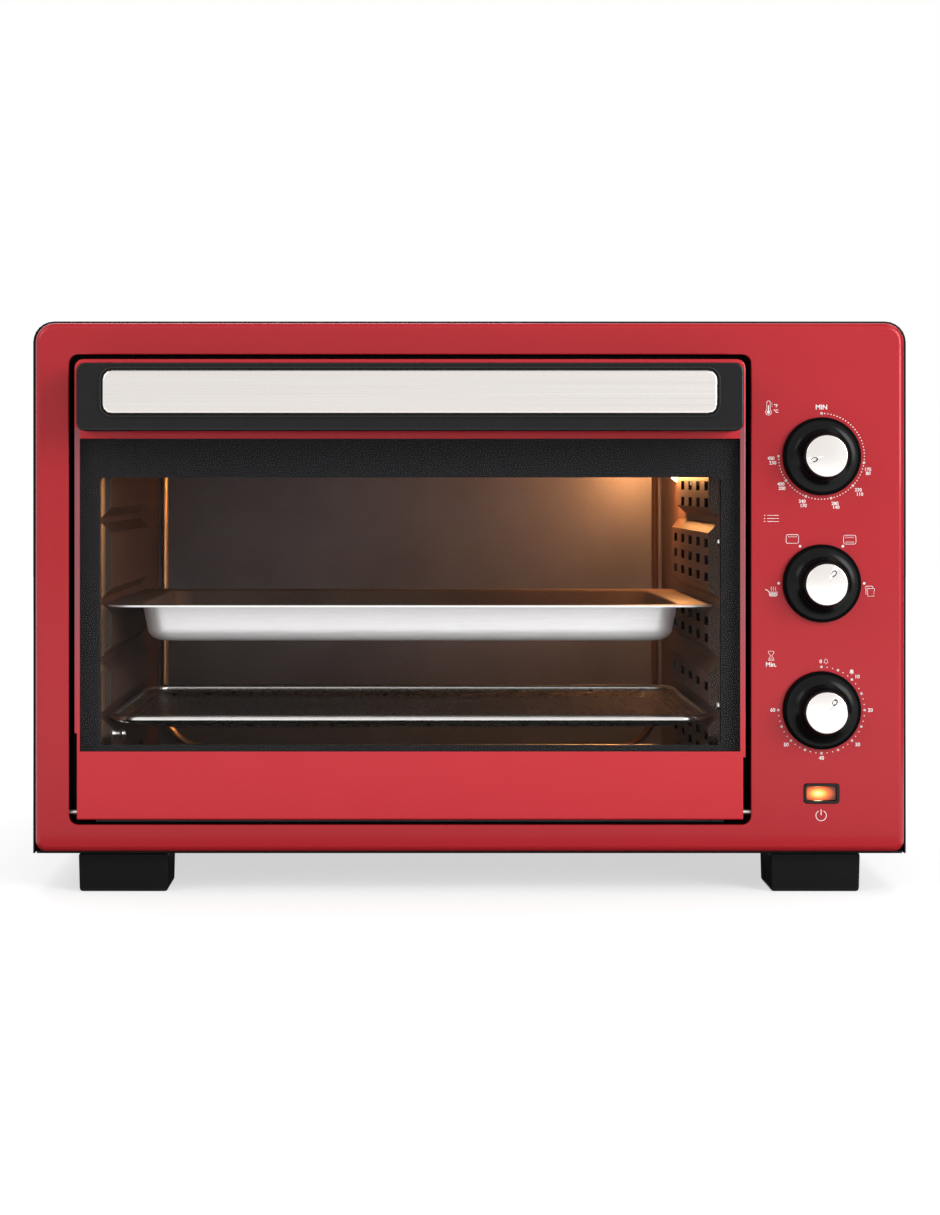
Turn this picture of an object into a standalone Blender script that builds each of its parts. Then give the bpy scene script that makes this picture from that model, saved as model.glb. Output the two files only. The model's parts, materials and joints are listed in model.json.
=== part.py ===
"""Countertop electric oven with a drop-down glass door, two trays and three control knobs.

Metres, +Z up. The front looks along -Y, and the origin is the middle of the footprint at the table.
"""

import math

import bmesh
import bpy
from mathutils import Matrix, Vector

mm = 0.001
gap = 0.3 * mm
overrun = 2 * mm
weld = 0.2 * mm
crease = math.radians(38)

# Casing
panel_height = 294.7 * mm
panel_sheet = 1.4 * mm
panel_skirt = 14 * mm
panel_corner = 10.5 * mm
panel_foot_corner = 6 * mm
panel_edge_round = 3.6 * mm
cover_side_margin = 2 * mm
cover_top_margin = 1.2 * mm
cover_sheet = 0.8 * mm
cover_start = 7 * mm
casing_depth = 345 * mm
base_sheet = 1.2 * mm
base_drop = 0.5 * mm
rear_sheet = 1 * mm
rear_inset = 1.5 * mm
foot_height = 21.8 * mm
foot_width = 50.6 * mm
foot_depth = 38 * mm
foot_taper = 1 * mm
foot_edge_round = 1.6 * mm
foot_inset = 48.2 * mm
foot_setback = 9.5 * mm
foot_rear_setback = 24 * mm
foot_screw_radius = 3.4 * mm
foot_screw_head = 2.4 * mm
foot_screw_well = 12 * mm
foot_wall = 2.4 * mm

# Door opening and door
opening_width = 379.8 * mm
opening_height = 261.8 * mm
opening_side_margin = 19 * mm
control_strip = 85.6 * mm
opening_bottom_margin = 15.2 * mm
opening_corner = 5 * mm
opening_edge_round = 0.85 * mm
door_side_gap = 3.1 * mm
door_top_gap = 2.5 * mm
door_bottom_gap = 2.9 * mm
door_proud = 1 * mm
door_depth = 20 * mm
door_sheet = 1.2 * mm
door_corner = 5 * mm
door_foot_corner = 0.8 * mm
door_edge_round = 1 * mm
door_step = 1.3 * mm
door_step_left_height = 48 * mm
door_step_right_height = 34.6 * mm
door_lower_panel = 38 * mm
door_upper_panel = 44.3 * mm
door_side_bar = 3.1 * mm
door_side_wall = 1 * mm
glass_thickness = 4 * mm
glass_overlap = 6 * mm
inner_frame_margin = 7 * mm
inner_frame_play = 1.5 * mm
inner_sheet = 1.2 * mm
inner_window_side = 4.2 * mm
inner_window_top = 60 * mm
inner_window_bottom = 33 * mm
inner_window_corner = 9 * mm

# Hinge
hinge_height = 3.6 * mm
hinge_setback = 4.5 * mm
hinge_pin_radius = 1.6 * mm
hinge_arm_radius = 50 * mm
hinge_arm_width = 5 * mm
hinge_arm_sheet = 1.6 * mm
hinge_arm_inset = 4.4 * mm
hinge_arm_foot = 9 * mm
hinge_slot_play = 1.2 * mm
hinge_pin_head_radius = 2.1 * mm
hinge_pin_head = 1.5 * mm
hinge_arm_start = math.radians(8)
hinge_arm_end = math.radians(110.6)

# Handle
housing_inset = 4.9 * mm
housing_height = 37.4 * mm
housing_reach = 27 * mm
housing_drop = 3.3 * mm
housing_corner = 4.5 * mm
housing_edge_round = 1.6 * mm
lip_margin = 2.1 * mm
lip_height = 1.2 * mm
lip_wall = 1.2 * mm
plate_inset = 14.7 * mm
plate_height = 23.9 * mm
plate_drop = 4.2 * mm
plate_thickness = 3 * mm
plate_corner = 5.3 * mm
plate_edge_round = 1.2 * mm
plate_seat = 0.6 * mm
grip_depth = 19 * mm
grip_height = 22 * mm
grip_end_wall = 26 * mm

# Front frame and cavity
frame_wall = 1.2 * mm
frame_start = 1.9 * mm
frame_relief = 0.4 * mm
frame_flange = 1.2 * mm
flange_inset = 0.4 * mm
flange_play = 0.5 * mm
swing_clearance = 1.9 * mm
cavity_inset = 14.4 * mm
cavity_depth = 297 * mm
cavity_sheet = 1 * mm
cavity_ceiling_drop = 5.8 * mm
floor_reach = 8.6 * mm
block_height = 5.5 * mm
block_start = 7 * mm
block_end = 192 * mm
block_front_slope = 1.6 * mm
block_slope = 5.6 * mm
block_short_end = 164 * mm
rack_groove = 14.6 * mm
rack_level_shares = (0.223, 0.347, 0.478, 0.659)
block_top_share = 0.883
block_bottom_share = 0.09
vent_length = 16 * mm
vent_height = 5.4 * mm
vent_pitch = 37 * mm
vent_row_pitch = 9.8 * mm
vent_start = 18 * mm
vent_rows = (2, 1, 2, 3, 5)
vent_columns = 5
vent_top_columns = 4
bead_radius = 2.4 * mm
bead_inset = 4.5 * mm
bead_corner = 28 * mm
heater_radius = 3.2 * mm
heater_offset = 15 * mm
heater_setback_shares = (0.2, 0.64)
heater_overhang = 9 * mm
ceramic_radius = 5.2 * mm
ceramic_collar_radius = 7.4 * mm
ceramic_collar = 2.5 * mm
lamp_setback = 182 * mm
lamp_height_share = 0.785
lamp_radius = 11.5 * mm
lamp_dome = 9 * mm
lamp_glass = 1.4 * mm
lamp_holder_radius = 12.5 * mm
lamp_holder_depth = 20 * mm
lamp_bulb_radius = 4.6 * mm
lamp_bulb_tuck = math.radians(36)
lamp_neck_share = 0.6
wall_screw_radius = 2.7 * mm
wall_screw_head = 2 * mm
wall_screw_setback = 3.8 * mm
wall_screw_shares = (0.612, 0.247)
wall_bolt_radius = 2.6 * mm
wall_bolt_length = 7.5 * mm
wall_bolt_setback = 14 * mm
wall_bolt_share = 0.18
wall_bolt_root_share = 0.8
wall_bolt_turns = 6

# Trays
tray_play = 1.9 * mm
tray_sheet = 1 * mm
tray_setback = 6 * mm
tray_depth = 200 * mm
pan_flange_side = 20 * mm
pan_flange_end = 12 * mm
pan_depth = 20.5 * mm
pan_taper = 5 * mm
pan_corner = 14 * mm
mesh_play = 1.7 * mm
mesh_depth = 5 * mm
mesh_taper = 15 * mm
mesh_corner = 18 * mm
mesh_rim_radius = 2.2 * mm
mesh_slots = 9
mesh_slot_rows = 3
mesh_slot_width = 5 * mm
mesh_slot_share = 0.6
crumb_inset = 3 * mm
crumb_lip = 7 * mm
crumb_sheet = 0.8 * mm

# Controls
knob_line_share = 0.457
knob_height_shares = (0.7477, 0.5078, 0.2684)
knob_radius = 21.7 * mm
knob_rim = 2.6 * mm
knob_face_radius = 19.8 * mm
knob_rim_round = 0.65 * mm
knob_flare_share = 0.55
knob_grip_radius = 12.4 * mm
knob_height = 16.2 * mm
knob_clearance = 0.5 * mm
knob_cap_radius = 11.5 * mm
knob_cap_height = 1.1 * mm
knob_cap_round = 0.5 * mm
knob_cap_recess = 0.6 * mm
knob_bore_depth = 10 * mm
shaft_radius = 3 * mm
shaft_hole_radius = 4.2 * mm
shaft_bore_depth = 8 * mm
thermostat_size = (34 * mm, 26 * mm, 40 * mm)
selector_size = (38 * mm, 30 * mm, 32 * mm)
control_edge = 1.2 * mm
timer_radius = 24 * mm
timer_depth = 30 * mm
bell_radius = 17 * mm
bell_depth = 9 * mm
bell_sheet = 1 * mm
bell_crown_share = 0.7
bell_stem_radius = 2 * mm
bell_stem = 7 * mm
window_width = 19.4 * mm
window_height = 10.8 * mm
window_corner = 2 * mm
window_height_share = 0.1107
bezel_wall = 1.3 * mm
bezel_proud = 0.5 * mm
bezel_depth = 16 * mm
lens_recess = 0.4 * mm
lens_thickness = 2.2 * mm
pilot_radius = 3 * mm
pilot_length = 8 * mm

# Openings in the sheets
louvre_length = 26 * mm
louvre_width = 3 * mm
louvre_pitch = 9 * mm
louvre_count = 10
louvre_drop = 26 * mm
rear_vent_length = 40 * mm
rear_vent_rows = 7
rear_vent_margin = 24 * mm
base_vent_length = 50 * mm
base_vent_count = 8
base_vent_pitch = 9 * mm
base_vent_width = 3 * mm
gland_radius = 7.5 * mm
gland_flange_radius = 10.5 * mm
gland_length = 8.5 * mm
gland_bore_radius = 3.8 * mm
gland_inset = 34 * mm
gland_height = 40 * mm

# Where the sheets and the door stand, worked out from the sizes above
handle_reach = door_proud + housing_reach - plate_seat + gap + plate_thickness
rear_reach = casing_depth - rear_inset + gland_length
front_y = (handle_reach - rear_reach) / 2
panel_width = opening_side_margin + opening_width + control_strip
panel_left = -panel_width / 2
panel_right = panel_width / 2
panel_bottom = foot_height + gap + base_sheet + base_drop
panel_top = panel_bottom + panel_height
base_bottom = foot_height + gap
cover_half = panel_width / 2 + cover_side_margin
foot_spread = panel_width / 2 - foot_inset
cover_top = panel_top + cover_top_margin
opening_left = panel_left + opening_side_margin
opening_right = opening_left + opening_width
opening_bottom = panel_bottom + opening_bottom_margin
opening_top = opening_bottom + opening_height
door_left = opening_left + door_side_gap
door_right = opening_right - door_side_gap
door_bottom = opening_bottom + door_bottom_gap
door_top = opening_top - door_top_gap
door_x = (door_left + door_right) / 2
door_back = door_depth - door_proud
housing_width = door_right - door_left - 2 * housing_inset
plate_width = housing_width - 2 * plate_inset
hinge_z = door_bottom + hinge_height
flange_start = door_back + swing_clearance
cavity_width = opening_width - 2 * cavity_inset
cavity_left = door_x - cavity_width / 2
cavity_right = door_x + cavity_width / 2
cavity_start = flange_start + gap
cavity_end = cavity_start + cavity_depth
cavity_bottom = opening_bottom - frame_relief + gap + cavity_sheet
cavity_top = opening_top - cavity_ceiling_drop
cavity_height = cavity_top - cavity_bottom
knob_x = opening_right + knob_line_share * control_strip
control_start = panel_sheet + gap
groove_base = rack_groove / 2 - block_slope

parts = bpy.data.collections.new("electric_oven")
cutters = bpy.data.collections.new("cutters")

finishes = {
    "red_enamel": ((0.42, 0.02, 0.03), 0.3, 0.22),
    "black_steel": ((0.02, 0.02, 0.022), 0.5, 0.4),
    "black_plastic": ((0.02, 0.021, 0.023), 0, 0.42),
    "cavity_steel": ((0.13, 0.12, 0.115), 0.6, 0.42),
    "bare_steel": ((0.6, 0.59, 0.57), 1, 0.32),
    "satin_steel": ((0.78, 0.76, 0.73), 1, 0.28),
    "clear_glass": ((0.05, 0.05, 0.05), 0, 0.05),
    "ceramic": ((0.8, 0.78, 0.72), 0, 0.6),
    "amber": ((0.9, 0.35, 0.05), 0, 0.2),
}


def at(depth):
    """World Y of a place this far behind the front face."""
    return front_y + depth


def finish_material(name):
    """The shared material with one of the finishes above."""
    found = bpy.data.materials.get(name)
    if found:
        return found
    colour, metallic, roughness = finishes[name]
    made = bpy.data.materials.new(name)
    made.use_nodes = True
    shader = made.node_tree.nodes["Principled BSDF"]
    shader.inputs["Base Color"].default_value = (*colour, 1)
    shader.inputs["Metallic"].default_value = metallic
    shader.inputs["Roughness"].default_value = roughness
    return made


def move_to(obj, collection):
    for holder in list(obj.users_collection):
        holder.objects.unlink(obj)
    collection.objects.link(obj)


def baked(obj):
    """The object with its curve or modifiers made one closed mesh."""
    bpy.context.view_layer.update()
    graph = bpy.context.evaluated_depsgraph_get()
    mesh = bpy.data.meshes.new_from_object(obj.evaluated_get(graph))
    shape = bmesh.new()
    shape.from_mesh(mesh)
    bmesh.ops.remove_doubles(shape, verts=shape.verts, dist=gap / 100)
    bmesh.ops.recalc_face_normals(shape, faces=shape.faces)
    shape.to_mesh(mesh)
    shape.free()
    name = obj.name
    made = bpy.data.objects.new(name, mesh)
    made.matrix_world = obj.matrix_world
    bpy.data.objects.remove(obj)
    made.name = name
    parts.objects.link(made)
    return made


def box(name, x, depth, z):
    """A box between pairs of places along X, into the depth and along Z."""
    middle = (sum(x) / 2, at(sum(depth) / 2), sum(z) / 2)
    size = (x[1] - x[0], depth[1] - depth[0], z[1] - z[0])
    bpy.ops.mesh.primitive_cube_add(size=1, location=middle, scale=size)
    made = bpy.context.object
    bpy.ops.object.transform_apply(location=False, rotation=False, scale=True)
    made.name = name
    move_to(made, parts)
    return made


def arc(centre, radius, start, end, steps):
    """Points along an arc between two angles, both ends included."""
    turns = [start + (end - start) * k / steps for k in range(steps + 1)]
    return [(centre[0] + radius * math.cos(t), centre[1] + radius * math.sin(t)) for t in turns]


def rounded(corners, steps=5):
    """An outline through (x, y, radius) corners, anticlockwise, with each corner an arc."""
    points = []
    for index, (x, y, radius) in enumerate(corners):
        here = Vector((x, y))
        before = (Vector(corners[index - 1][:2]) - here).normalized()
        after = (Vector(corners[(index + 1) % len(corners)][:2]) - here).normalized()
        if not radius:
            points.append((x, y))
            continue
        half_angle = before.angle(after) / 2
        middle = here + (before + after).normalized() * radius / math.sin(half_angle)
        first = here + before * radius / math.tan(half_angle) - middle
        last = here + after * radius / math.tan(half_angle) - middle
        turn = first.angle_signed(last)
        for k in range(steps + 1):
            spoke = Matrix.Rotation(-turn * k / steps, 2) @ first
            points.append(tuple(middle + spoke))
    return points


def rounded_box(x, y, radius, steps=5):
    """A rectangle outline between pairs of places, with round corners."""
    corners = [(x[0], y[0]), (x[1], y[0]), (x[1], y[1]), (x[0], y[1])]
    return rounded([(*corner, radius) for corner in corners], steps)


def arched_box(x, y, foot, top):
    """A rectangle outline whose lower and upper corners have radii of their own."""
    return rounded([(x[0], y[0], foot), (x[1], y[0], foot), (x[1], y[1], top), (x[0], y[1], top)])


def circle(centre, radius, steps=24):
    return arc(centre, radius, 0, 2 * math.pi * (steps - 1) / steps, steps - 1)


views = {
    "front": Matrix(((1, 0, 0), (0, 0, -1), (0, 1, 0))),
    "side": Matrix(((0, 0, 1), (1, 0, 0), (0, 1, 0))),
    "top": Matrix.Identity(3),
}


def prism(name, outlines, view, ends):
    """Flat outlines, the later ones holes in the first, drawn in one view and extruded between two places."""
    curve = bpy.data.curves.new(name, "CURVE")
    curve.dimensions = "2D"
    curve.fill_mode = "BOTH"
    curve.extrude = abs(ends[1] - ends[0]) / 2
    for outline in outlines:
        spline = curve.splines.new("POLY")
        spline.points.add(len(outline) - 1)
        for point, place in zip(spline.points, outline):
            point.co = (*place, 0, 1)
        spline.use_cyclic_u = True
    middle = sum(ends) / 2
    shift = {"front": (0, at(middle), 0), "side": (middle, 0, 0), "top": (0, 0, middle)}[view]
    obj = bpy.data.objects.new(name, curve)
    obj.matrix_world = Matrix.Translation(shift) @ views[view].to_4x4()
    parts.objects.link(obj)
    return baked(obj)


def turned(name, profile, place, toward, steps=32):
    """A turned solid: (radius, height) points from the top down the outside, its axis along a direction."""
    mesh = bpy.data.meshes.new(name)
    edges = [(k, k + 1) for k in range(len(profile) - 1)]
    mesh.from_pydata([(radius, 0, height) for radius, height in profile], edges, [])
    obj = bpy.data.objects.new(name, mesh)
    spin = obj.modifiers.new("Screw", "SCREW")
    spin.steps = steps
    spin.render_steps = steps
    spin.use_merge_vertices = True
    spin.merge_threshold = gap / 100
    aim = Vector((0, 0, 1)).rotation_difference(Vector(toward)).to_matrix().to_4x4()
    obj.matrix_world = Matrix.Translation(place) @ aim
    parts.objects.link(obj)
    return baked(obj)


def tube(name, points, radius, closed=False, resolution=2):
    """A round wire through points."""
    curve = bpy.data.curves.new(name, "CURVE")
    curve.dimensions = "3D"
    curve.bevel_depth = radius
    curve.bevel_resolution = resolution
    curve.use_fill_caps = True
    spline = curve.splines.new("POLY")
    spline.points.add(len(points) - 1)
    for point, place in zip(spline.points, points):
        point.co = (*place, 1)
    spline.use_cyclic_u = closed
    obj = bpy.data.objects.new(name, curve)
    parts.objects.link(obj)
    return baked(obj)


def combine(target, other, operation):
    change = target.modifiers.new(other.name, "BOOLEAN")
    change.operation = operation
    change.object = other
    other.hide_render = True
    other.display_type = "WIRE"
    if other.name not in cutters.objects:
        move_to(other, cutters)
    return target


def cut(target, *others):
    for other in others:
        combine(target, other, "DIFFERENCE")
    return target


def join(target, *others):
    for other in others:
        combine(target, other, "UNION")
    return target


def merged(name, objects):
    """Separate shapes held by one object, for use as one cutter."""
    shape = bmesh.new()
    for obj in objects:
        start = len(shape.verts)
        shape.from_mesh(obj.data)
        shape.verts.ensure_lookup_table()
        bmesh.ops.transform(shape, matrix=obj.matrix_world, verts=shape.verts[start:])
        bpy.data.objects.remove(obj)
    mesh = bpy.data.meshes.new(name)
    shape.to_mesh(mesh)
    shape.free()
    made = bpy.data.objects.new(name, mesh)
    parts.objects.link(made)
    return made


def soften(obj, chosen, width, segments=3):
    """Rounds the edges whose two ends both pass a test of their world place."""
    obj = baked(obj)
    shape = bmesh.new()
    shape.from_mesh(obj.data)
    world = obj.matrix_world
    sharp = [
        edge
        for edge in shape.edges
        if edge.calc_face_angle(0) > crease
        and all(chosen(world @ vert.co) for vert in edge.verts)
    ]
    bmesh.ops.bevel(
        shape, geom=sharp, offset=width, segments=segments, profile=0.5, affect="EDGES"
    )
    shape.to_mesh(obj.data)
    shape.free()
    return obj


def near(value, place):
    return abs(value - place) < gap / 10


def finished(obj, finish, smooth=True):
    """Gives a part its finish and its shading."""
    obj.data.materials.clear()
    obj.data.materials.append(finish_material(finish))
    if smooth:
        obj.data.shade_smooth()
        obj.data.set_sharp_from_angle(angle=crease)
    return obj


def knob_places():
    """World X and Z of the three knob axes, top to bottom."""
    return [(knob_x, panel_bottom + share * panel_height) for share in knob_height_shares]


def window_place():
    return knob_x, panel_bottom + window_height_share * panel_height


def arm_outline(width, start, end, steps=12):
    """The hinge arm's arc round the hinge axis, as an outline in world Y and Z."""
    centre = (at(hinge_setback), hinge_z)
    outer = arc(centre, hinge_arm_radius + width / 2, math.pi / 2 - start, math.pi / 2 - end, steps)
    inner = arc(centre, hinge_arm_radius - width / 2, math.pi / 2 - end, math.pi / 2 - start, steps)
    return outer + inner


def arm_spans():
    """The two hinge arms' places along X, left then right."""
    left = door_left + hinge_arm_inset
    right = door_right - hinge_arm_inset
    return {"left": (left, left + hinge_arm_sheet), "right": (right - hinge_arm_sheet, right)}


def front_panel():
    panel_x = (panel_left, panel_right)
    panel_z = (panel_bottom, panel_top)
    outline = arched_box(panel_x, panel_z, panel_foot_corner, panel_corner)
    body = prism("front_panel", [outline], "front", (0, panel_skirt))
    body = soften(body, lambda co: near(co.y, front_y), panel_edge_round, 4)
    inner_x = (panel_left + panel_sheet, panel_right - panel_sheet)
    inner_z = (panel_bottom + panel_sheet, panel_top - panel_sheet)
    inner = arched_box(inner_x, inner_z, panel_foot_corner - panel_sheet, panel_corner - panel_sheet)
    pocket = prism("front_panel_pocket", [inner], "front", (panel_sheet, panel_skirt + overrun))
    pocket_round = panel_edge_round - panel_sheet
    pocket = soften(pocket, lambda co: near(co.y, at(panel_sheet)), pocket_round, 4)
    through = (-overrun, panel_sheet + overrun)
    door_hole = rounded_box((opening_left, opening_right), (opening_bottom, opening_top), opening_corner)
    holes = [prism("door_hole", [door_hole], "front", through)]
    for number, place in enumerate(knob_places()):
        outline = circle(place, shaft_hole_radius)
        holes.append(prism(f"shaft_hole_{number}", [outline], "front", through))
    window_x, window_z = window_place()
    half = (window_width / 2 + gap, window_height / 2 + gap)
    window = rounded_box(
        (window_x - half[0], window_x + half[0]),
        (window_z - half[1], window_z + half[1]),
        window_corner,
    )
    holes.append(prism("window_hole", [window], "front", through))
    cut(body, pocket, merged("front_panel_holes", holes))

    def on_opening(co):
        inside_x = opening_left - gap < co.x < opening_right + gap
        inside_z = opening_bottom - gap < co.z < opening_top + gap
        return near(co.y, front_y) and inside_x and inside_z

    finished(soften(body, on_opening, opening_edge_round, 2), "red_enamel")


def front_frame():
    inner_x = (opening_left - frame_relief, opening_right + frame_relief)
    inner_z = (opening_bottom - frame_relief, opening_top + frame_relief)
    outer_x = (inner_x[0] - frame_wall, inner_x[1] + frame_wall)
    outer_z = (inner_z[0] - frame_wall, inner_z[1] + frame_wall)
    flange_end = flange_start + frame_flange
    walls = [
        rounded_box(outer_x, outer_z, opening_corner + frame_relief + frame_wall),
        rounded_box(inner_x, inner_z, opening_corner + frame_relief),
    ]
    body = prism("front_frame", walls, "front", (frame_start, flange_end))
    mouth_x = (cavity_left - cavity_sheet - flange_play, cavity_right + cavity_sheet + flange_play)
    mouth_z = (inner_z[0] - frame_wall / 2, cavity_top + cavity_sheet + flange_play)
    flange_x = (outer_x[0] + flange_inset, outer_x[1] - flange_inset)
    flange_z = (outer_z[0] + flange_inset, outer_z[1] - flange_inset)
    flange_corner = opening_corner + frame_relief + frame_wall - flange_inset
    flange = [
        rounded_box(flange_x, flange_z, flange_corner),
        rounded_box(mouth_x, mouth_z, 0),
    ]
    join(body, prism("frame_flange", flange, "front", (flange_start, flange_end)))
    slots = []
    slot_width = hinge_arm_width + 2 * hinge_slot_play
    for side, span in arm_spans().items():
        ends = (span[0] - hinge_slot_play, span[1] + hinge_slot_play)
        outline = arm_outline(slot_width, hinge_arm_start, math.pi / 4)
        slots.append(prism(f"arm_slot_{side}", [outline], "side", ends))
    pins = turned(
        "pin_bores",
        [
            (0, cover_half),
            (hinge_pin_radius + gap, cover_half),
            (hinge_pin_radius + gap, -cover_half),
            (0, -cover_half),
        ],
        (0, at(hinge_setback), hinge_z),
        (1, 0, 0),
    )
    cut(body, merged("frame_arm_slots", slots), pins)
    finished(baked(body), "black_steel")


def cover_outline(inset):
    """Half-closed outline of the cover, from its left foot over the top to its right foot."""
    half = cover_half - inset
    top = cover_top - inset
    radius = panel_corner + cover_top_margin - inset
    left = arc((-half + radius, top - radius), radius, math.pi, math.pi / 2, 6)
    right = arc((half - radius, top - radius), radius, math.pi / 2, 0, 6)
    return [(-half, base_bottom), *left, *right, (half, base_bottom)]


def outer_cover():
    outline = cover_outline(0) + cover_outline(cover_sheet)[::-1]
    body = prism("outer_cover", [outline], "front", (cover_start, casing_depth))
    slots = []
    middle = (panel_bottom + panel_top) / 2
    first = casing_depth - louvre_drop - louvre_length
    for index in range(louvre_count):
        low = middle + (index - (louvre_count - 1) / 2) * louvre_pitch - louvre_width / 2
        slot_z = (low, low + louvre_width)
        everything = (-cover_half - overrun, cover_half + overrun)
        slots.append(box(f"louvre_{index}", everything, (first, first + louvre_length), slot_z))
    cut(body, merged("louvres", slots))
    finished(baked(body), "black_steel")


def base_plate():
    depth = (cover_start, casing_depth - rear_inset)
    body = box("base_plate", (panel_left, panel_right), depth, (base_bottom, base_bottom + base_sheet))
    through = (base_bottom - overrun, base_bottom + base_sheet + overrun)
    slots = []
    middle = sum(depth) / 2
    for index in range(base_vent_count):
        left = knob_x + (index - (base_vent_count - 1) / 2) * base_vent_pitch - base_vent_width / 2
        vent = (middle - base_vent_length / 2, middle + base_vent_length / 2)
        slots.append(box(f"base_vent_{index}", (left, left + base_vent_width), vent, through))
    bores = [
        prism(f"base_bore_{name}", [circle(place, foot_screw_radius / 2 + gap)], "top", through)
        for name, place in foot_places().items()
    ]
    cut(body, merged("base_vents", slots + bores))
    finished(baked(body), "black_steel", smooth=False)


def rear_panel():
    inset = cover_sheet + gap
    half = cover_half - inset
    top = cover_top - inset
    low = base_bottom + base_sheet + gap
    radius = panel_corner + cover_top_margin - inset
    corners = [(-half, low, 0), (half, low, 0), (half, top, radius), (-half, top, radius)]
    depth = (casing_depth - rear_inset - rear_sheet, casing_depth - rear_inset)
    low_edge = depth[0] - overrun
    body = prism("rear_panel", [rounded(corners)], "front", depth)
    through = (low_edge, depth[1] + overrun)
    slots = []
    for row in range(rear_vent_rows):
        for side in (-1, 1):
            middle = side * (half - rear_vent_margin - rear_vent_length / 2)
            vent_x = (middle - rear_vent_length / 2, middle + rear_vent_length / 2)
            vent_z = top - rear_vent_margin - row * louvre_pitch
            name = f"rear_vent_{row}_{side}"
            slots.append(box(name, vent_x, through, (vent_z - louvre_width, vent_z)))
    hole = prism("gland_hole", [circle(gland_place(), gland_radius + gap)], "front", through)
    cut(body, merged("rear_holes", [*slots, hole]))
    finished(baked(body), "black_steel", smooth=False)


def gland_place():
    return cover_half - gland_inset, base_bottom + gland_height


def cord_gland():
    x, z = gland_place()
    face = at(casing_depth - rear_inset)
    inside = -rear_sheet - gap - gland_length / 2
    profile = [
        (gland_bore_radius, gland_length),
        (gland_radius, gland_length),
        (gland_flange_radius, gland_length / 2),
        (gland_flange_radius, gap),
        (gland_radius, gap),
        (gland_radius, inside),
        (gland_bore_radius, inside),
        (gland_bore_radius, gland_length),
    ]
    finished(turned("cord_gland", profile, (x, face, z), (0, 1, 0), 24), "black_plastic")


def foot_places():
    """World X and Y of the middle of each foot."""
    rows = {
        "front": at(foot_setback + foot_depth / 2),
        "rear": at(casing_depth - foot_rear_setback - foot_depth / 2),
    }
    sides = {"left": -foot_spread, "right": foot_spread}
    return {f"{row}_{side}": (sides[side], rows[row]) for row in rows for side in sides}


def foot(name, place):
    """A tapered block, hollow from below up to the web that its screw clamps."""
    x, y = place
    depth = (y - foot_depth / 2 - front_y, y + foot_depth / 2 - front_y)
    body = box(f"foot_{name}", (x - foot_width / 2, x + foot_width / 2), depth, (0, foot_height))
    for vert in body.data.vertices:
        if vert.co.z < 0:
            vert.co.x -= math.copysign(foot_taper / 2, vert.co.x)
            vert.co.y -= math.copysign(foot_taper / 2, vert.co.y)
    edge = body.modifiers.new("Bevel", "BEVEL")
    edge.width = foot_edge_round
    edge.segments = 2
    body = baked(body)
    well = (foot_screw_well, foot_screw_well)
    hollow = box(
        f"foot_well_{name}",
        (x - well[0], x + well[0]),
        (y - well[1] - front_y, y + well[1] - front_y),
        (-overrun, foot_height - foot_wall),
    )
    through = (-overrun, foot_height + overrun)
    bore = prism(f"foot_bore_{name}", [circle(place, foot_screw_radius / 2 + gap)], "top", through)
    cut(body, hollow, bore)
    finished(baked(body), "black_plastic", smooth=False)


def foot_screw(name, place):
    """A pan-head screw up through the foot's web and the base plate."""
    seat = foot_height - foot_wall - gap
    tip = base_bottom + base_sheet + foot_wall - seat
    shank = foot_screw_radius / 2
    profile = [
        (0, tip),
        (shank, tip - gap),
        (shank, 0),
        (foot_screw_radius, 0),
        (foot_screw_radius, -foot_screw_head / 2),
        (shank, -foot_screw_head),
        (0, -foot_screw_head),
    ]
    finished(turned(f"foot_screw_{name}", profile, (*place, seat), (0, 0, 1), 16), "bare_steel")


def rack_levels():
    return [cavity_bottom + share * cavity_height for share in rack_level_shares]


def block_spans():
    """The bottom and top of each raised block where it leaves the wall, lowest first."""
    half = groove_base
    levels = rack_levels()
    lows = [cavity_bottom + block_bottom_share * cavity_height] + [level + half for level in levels]
    highs = [level - half for level in levels] + [cavity_bottom + block_top_share * cavity_height]
    return list(zip(lows, highs))


def pressed_wall(name, side, short_top):
    """A cavity side wall: raised blocks pressed inwards, with the rack grooves between them."""
    spans = block_spans()
    start = cavity_start + block_start
    ends = [cavity_start + block_end] * len(spans)
    if short_top:
        ends[-1] = cavity_start + block_short_end
    depths = {cavity_start, cavity_end, start, start + block_front_slope}
    for end in ends:
        depths |= {end - block_slope, end}
    heights = {cavity_bottom + gap, cavity_top - gap}
    for low, high in spans:
        heights |= {low, low + block_slope, high - block_slope, high}
    depths = sorted(depths)
    heights = sorted(heights)

    def raised(depth, height):
        for (low, high), end in zip(spans, ends):
            in_depth = start + block_front_slope - gap / 10 < depth < end - block_slope + gap / 10
            in_height = low + block_slope - gap / 10 < height < high - block_slope + gap / 10
            if in_depth and in_height:
                return block_height
        return 0

    face = cavity_right if side > 0 else cavity_left
    shape = bmesh.new()
    rows = [
        [shape.verts.new((face - side * raised(d, h), at(d), h)) for d in depths] for h in heights
    ]
    for lower, upper in zip(rows, rows[1:]):
        for k in range(len(depths) - 1):
            shape.faces.new((lower[k], lower[k + 1], upper[k + 1], upper[k]))
    mesh = bpy.data.meshes.new(name)
    shape.to_mesh(mesh)
    shape.free()
    body = bpy.data.objects.new(name, mesh)
    parts.objects.link(body)
    wall = body.modifiers.new("Solidify", "SOLIDIFY")
    wall.thickness = cavity_sheet
    wall.offset = side
    return baked(body)


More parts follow.
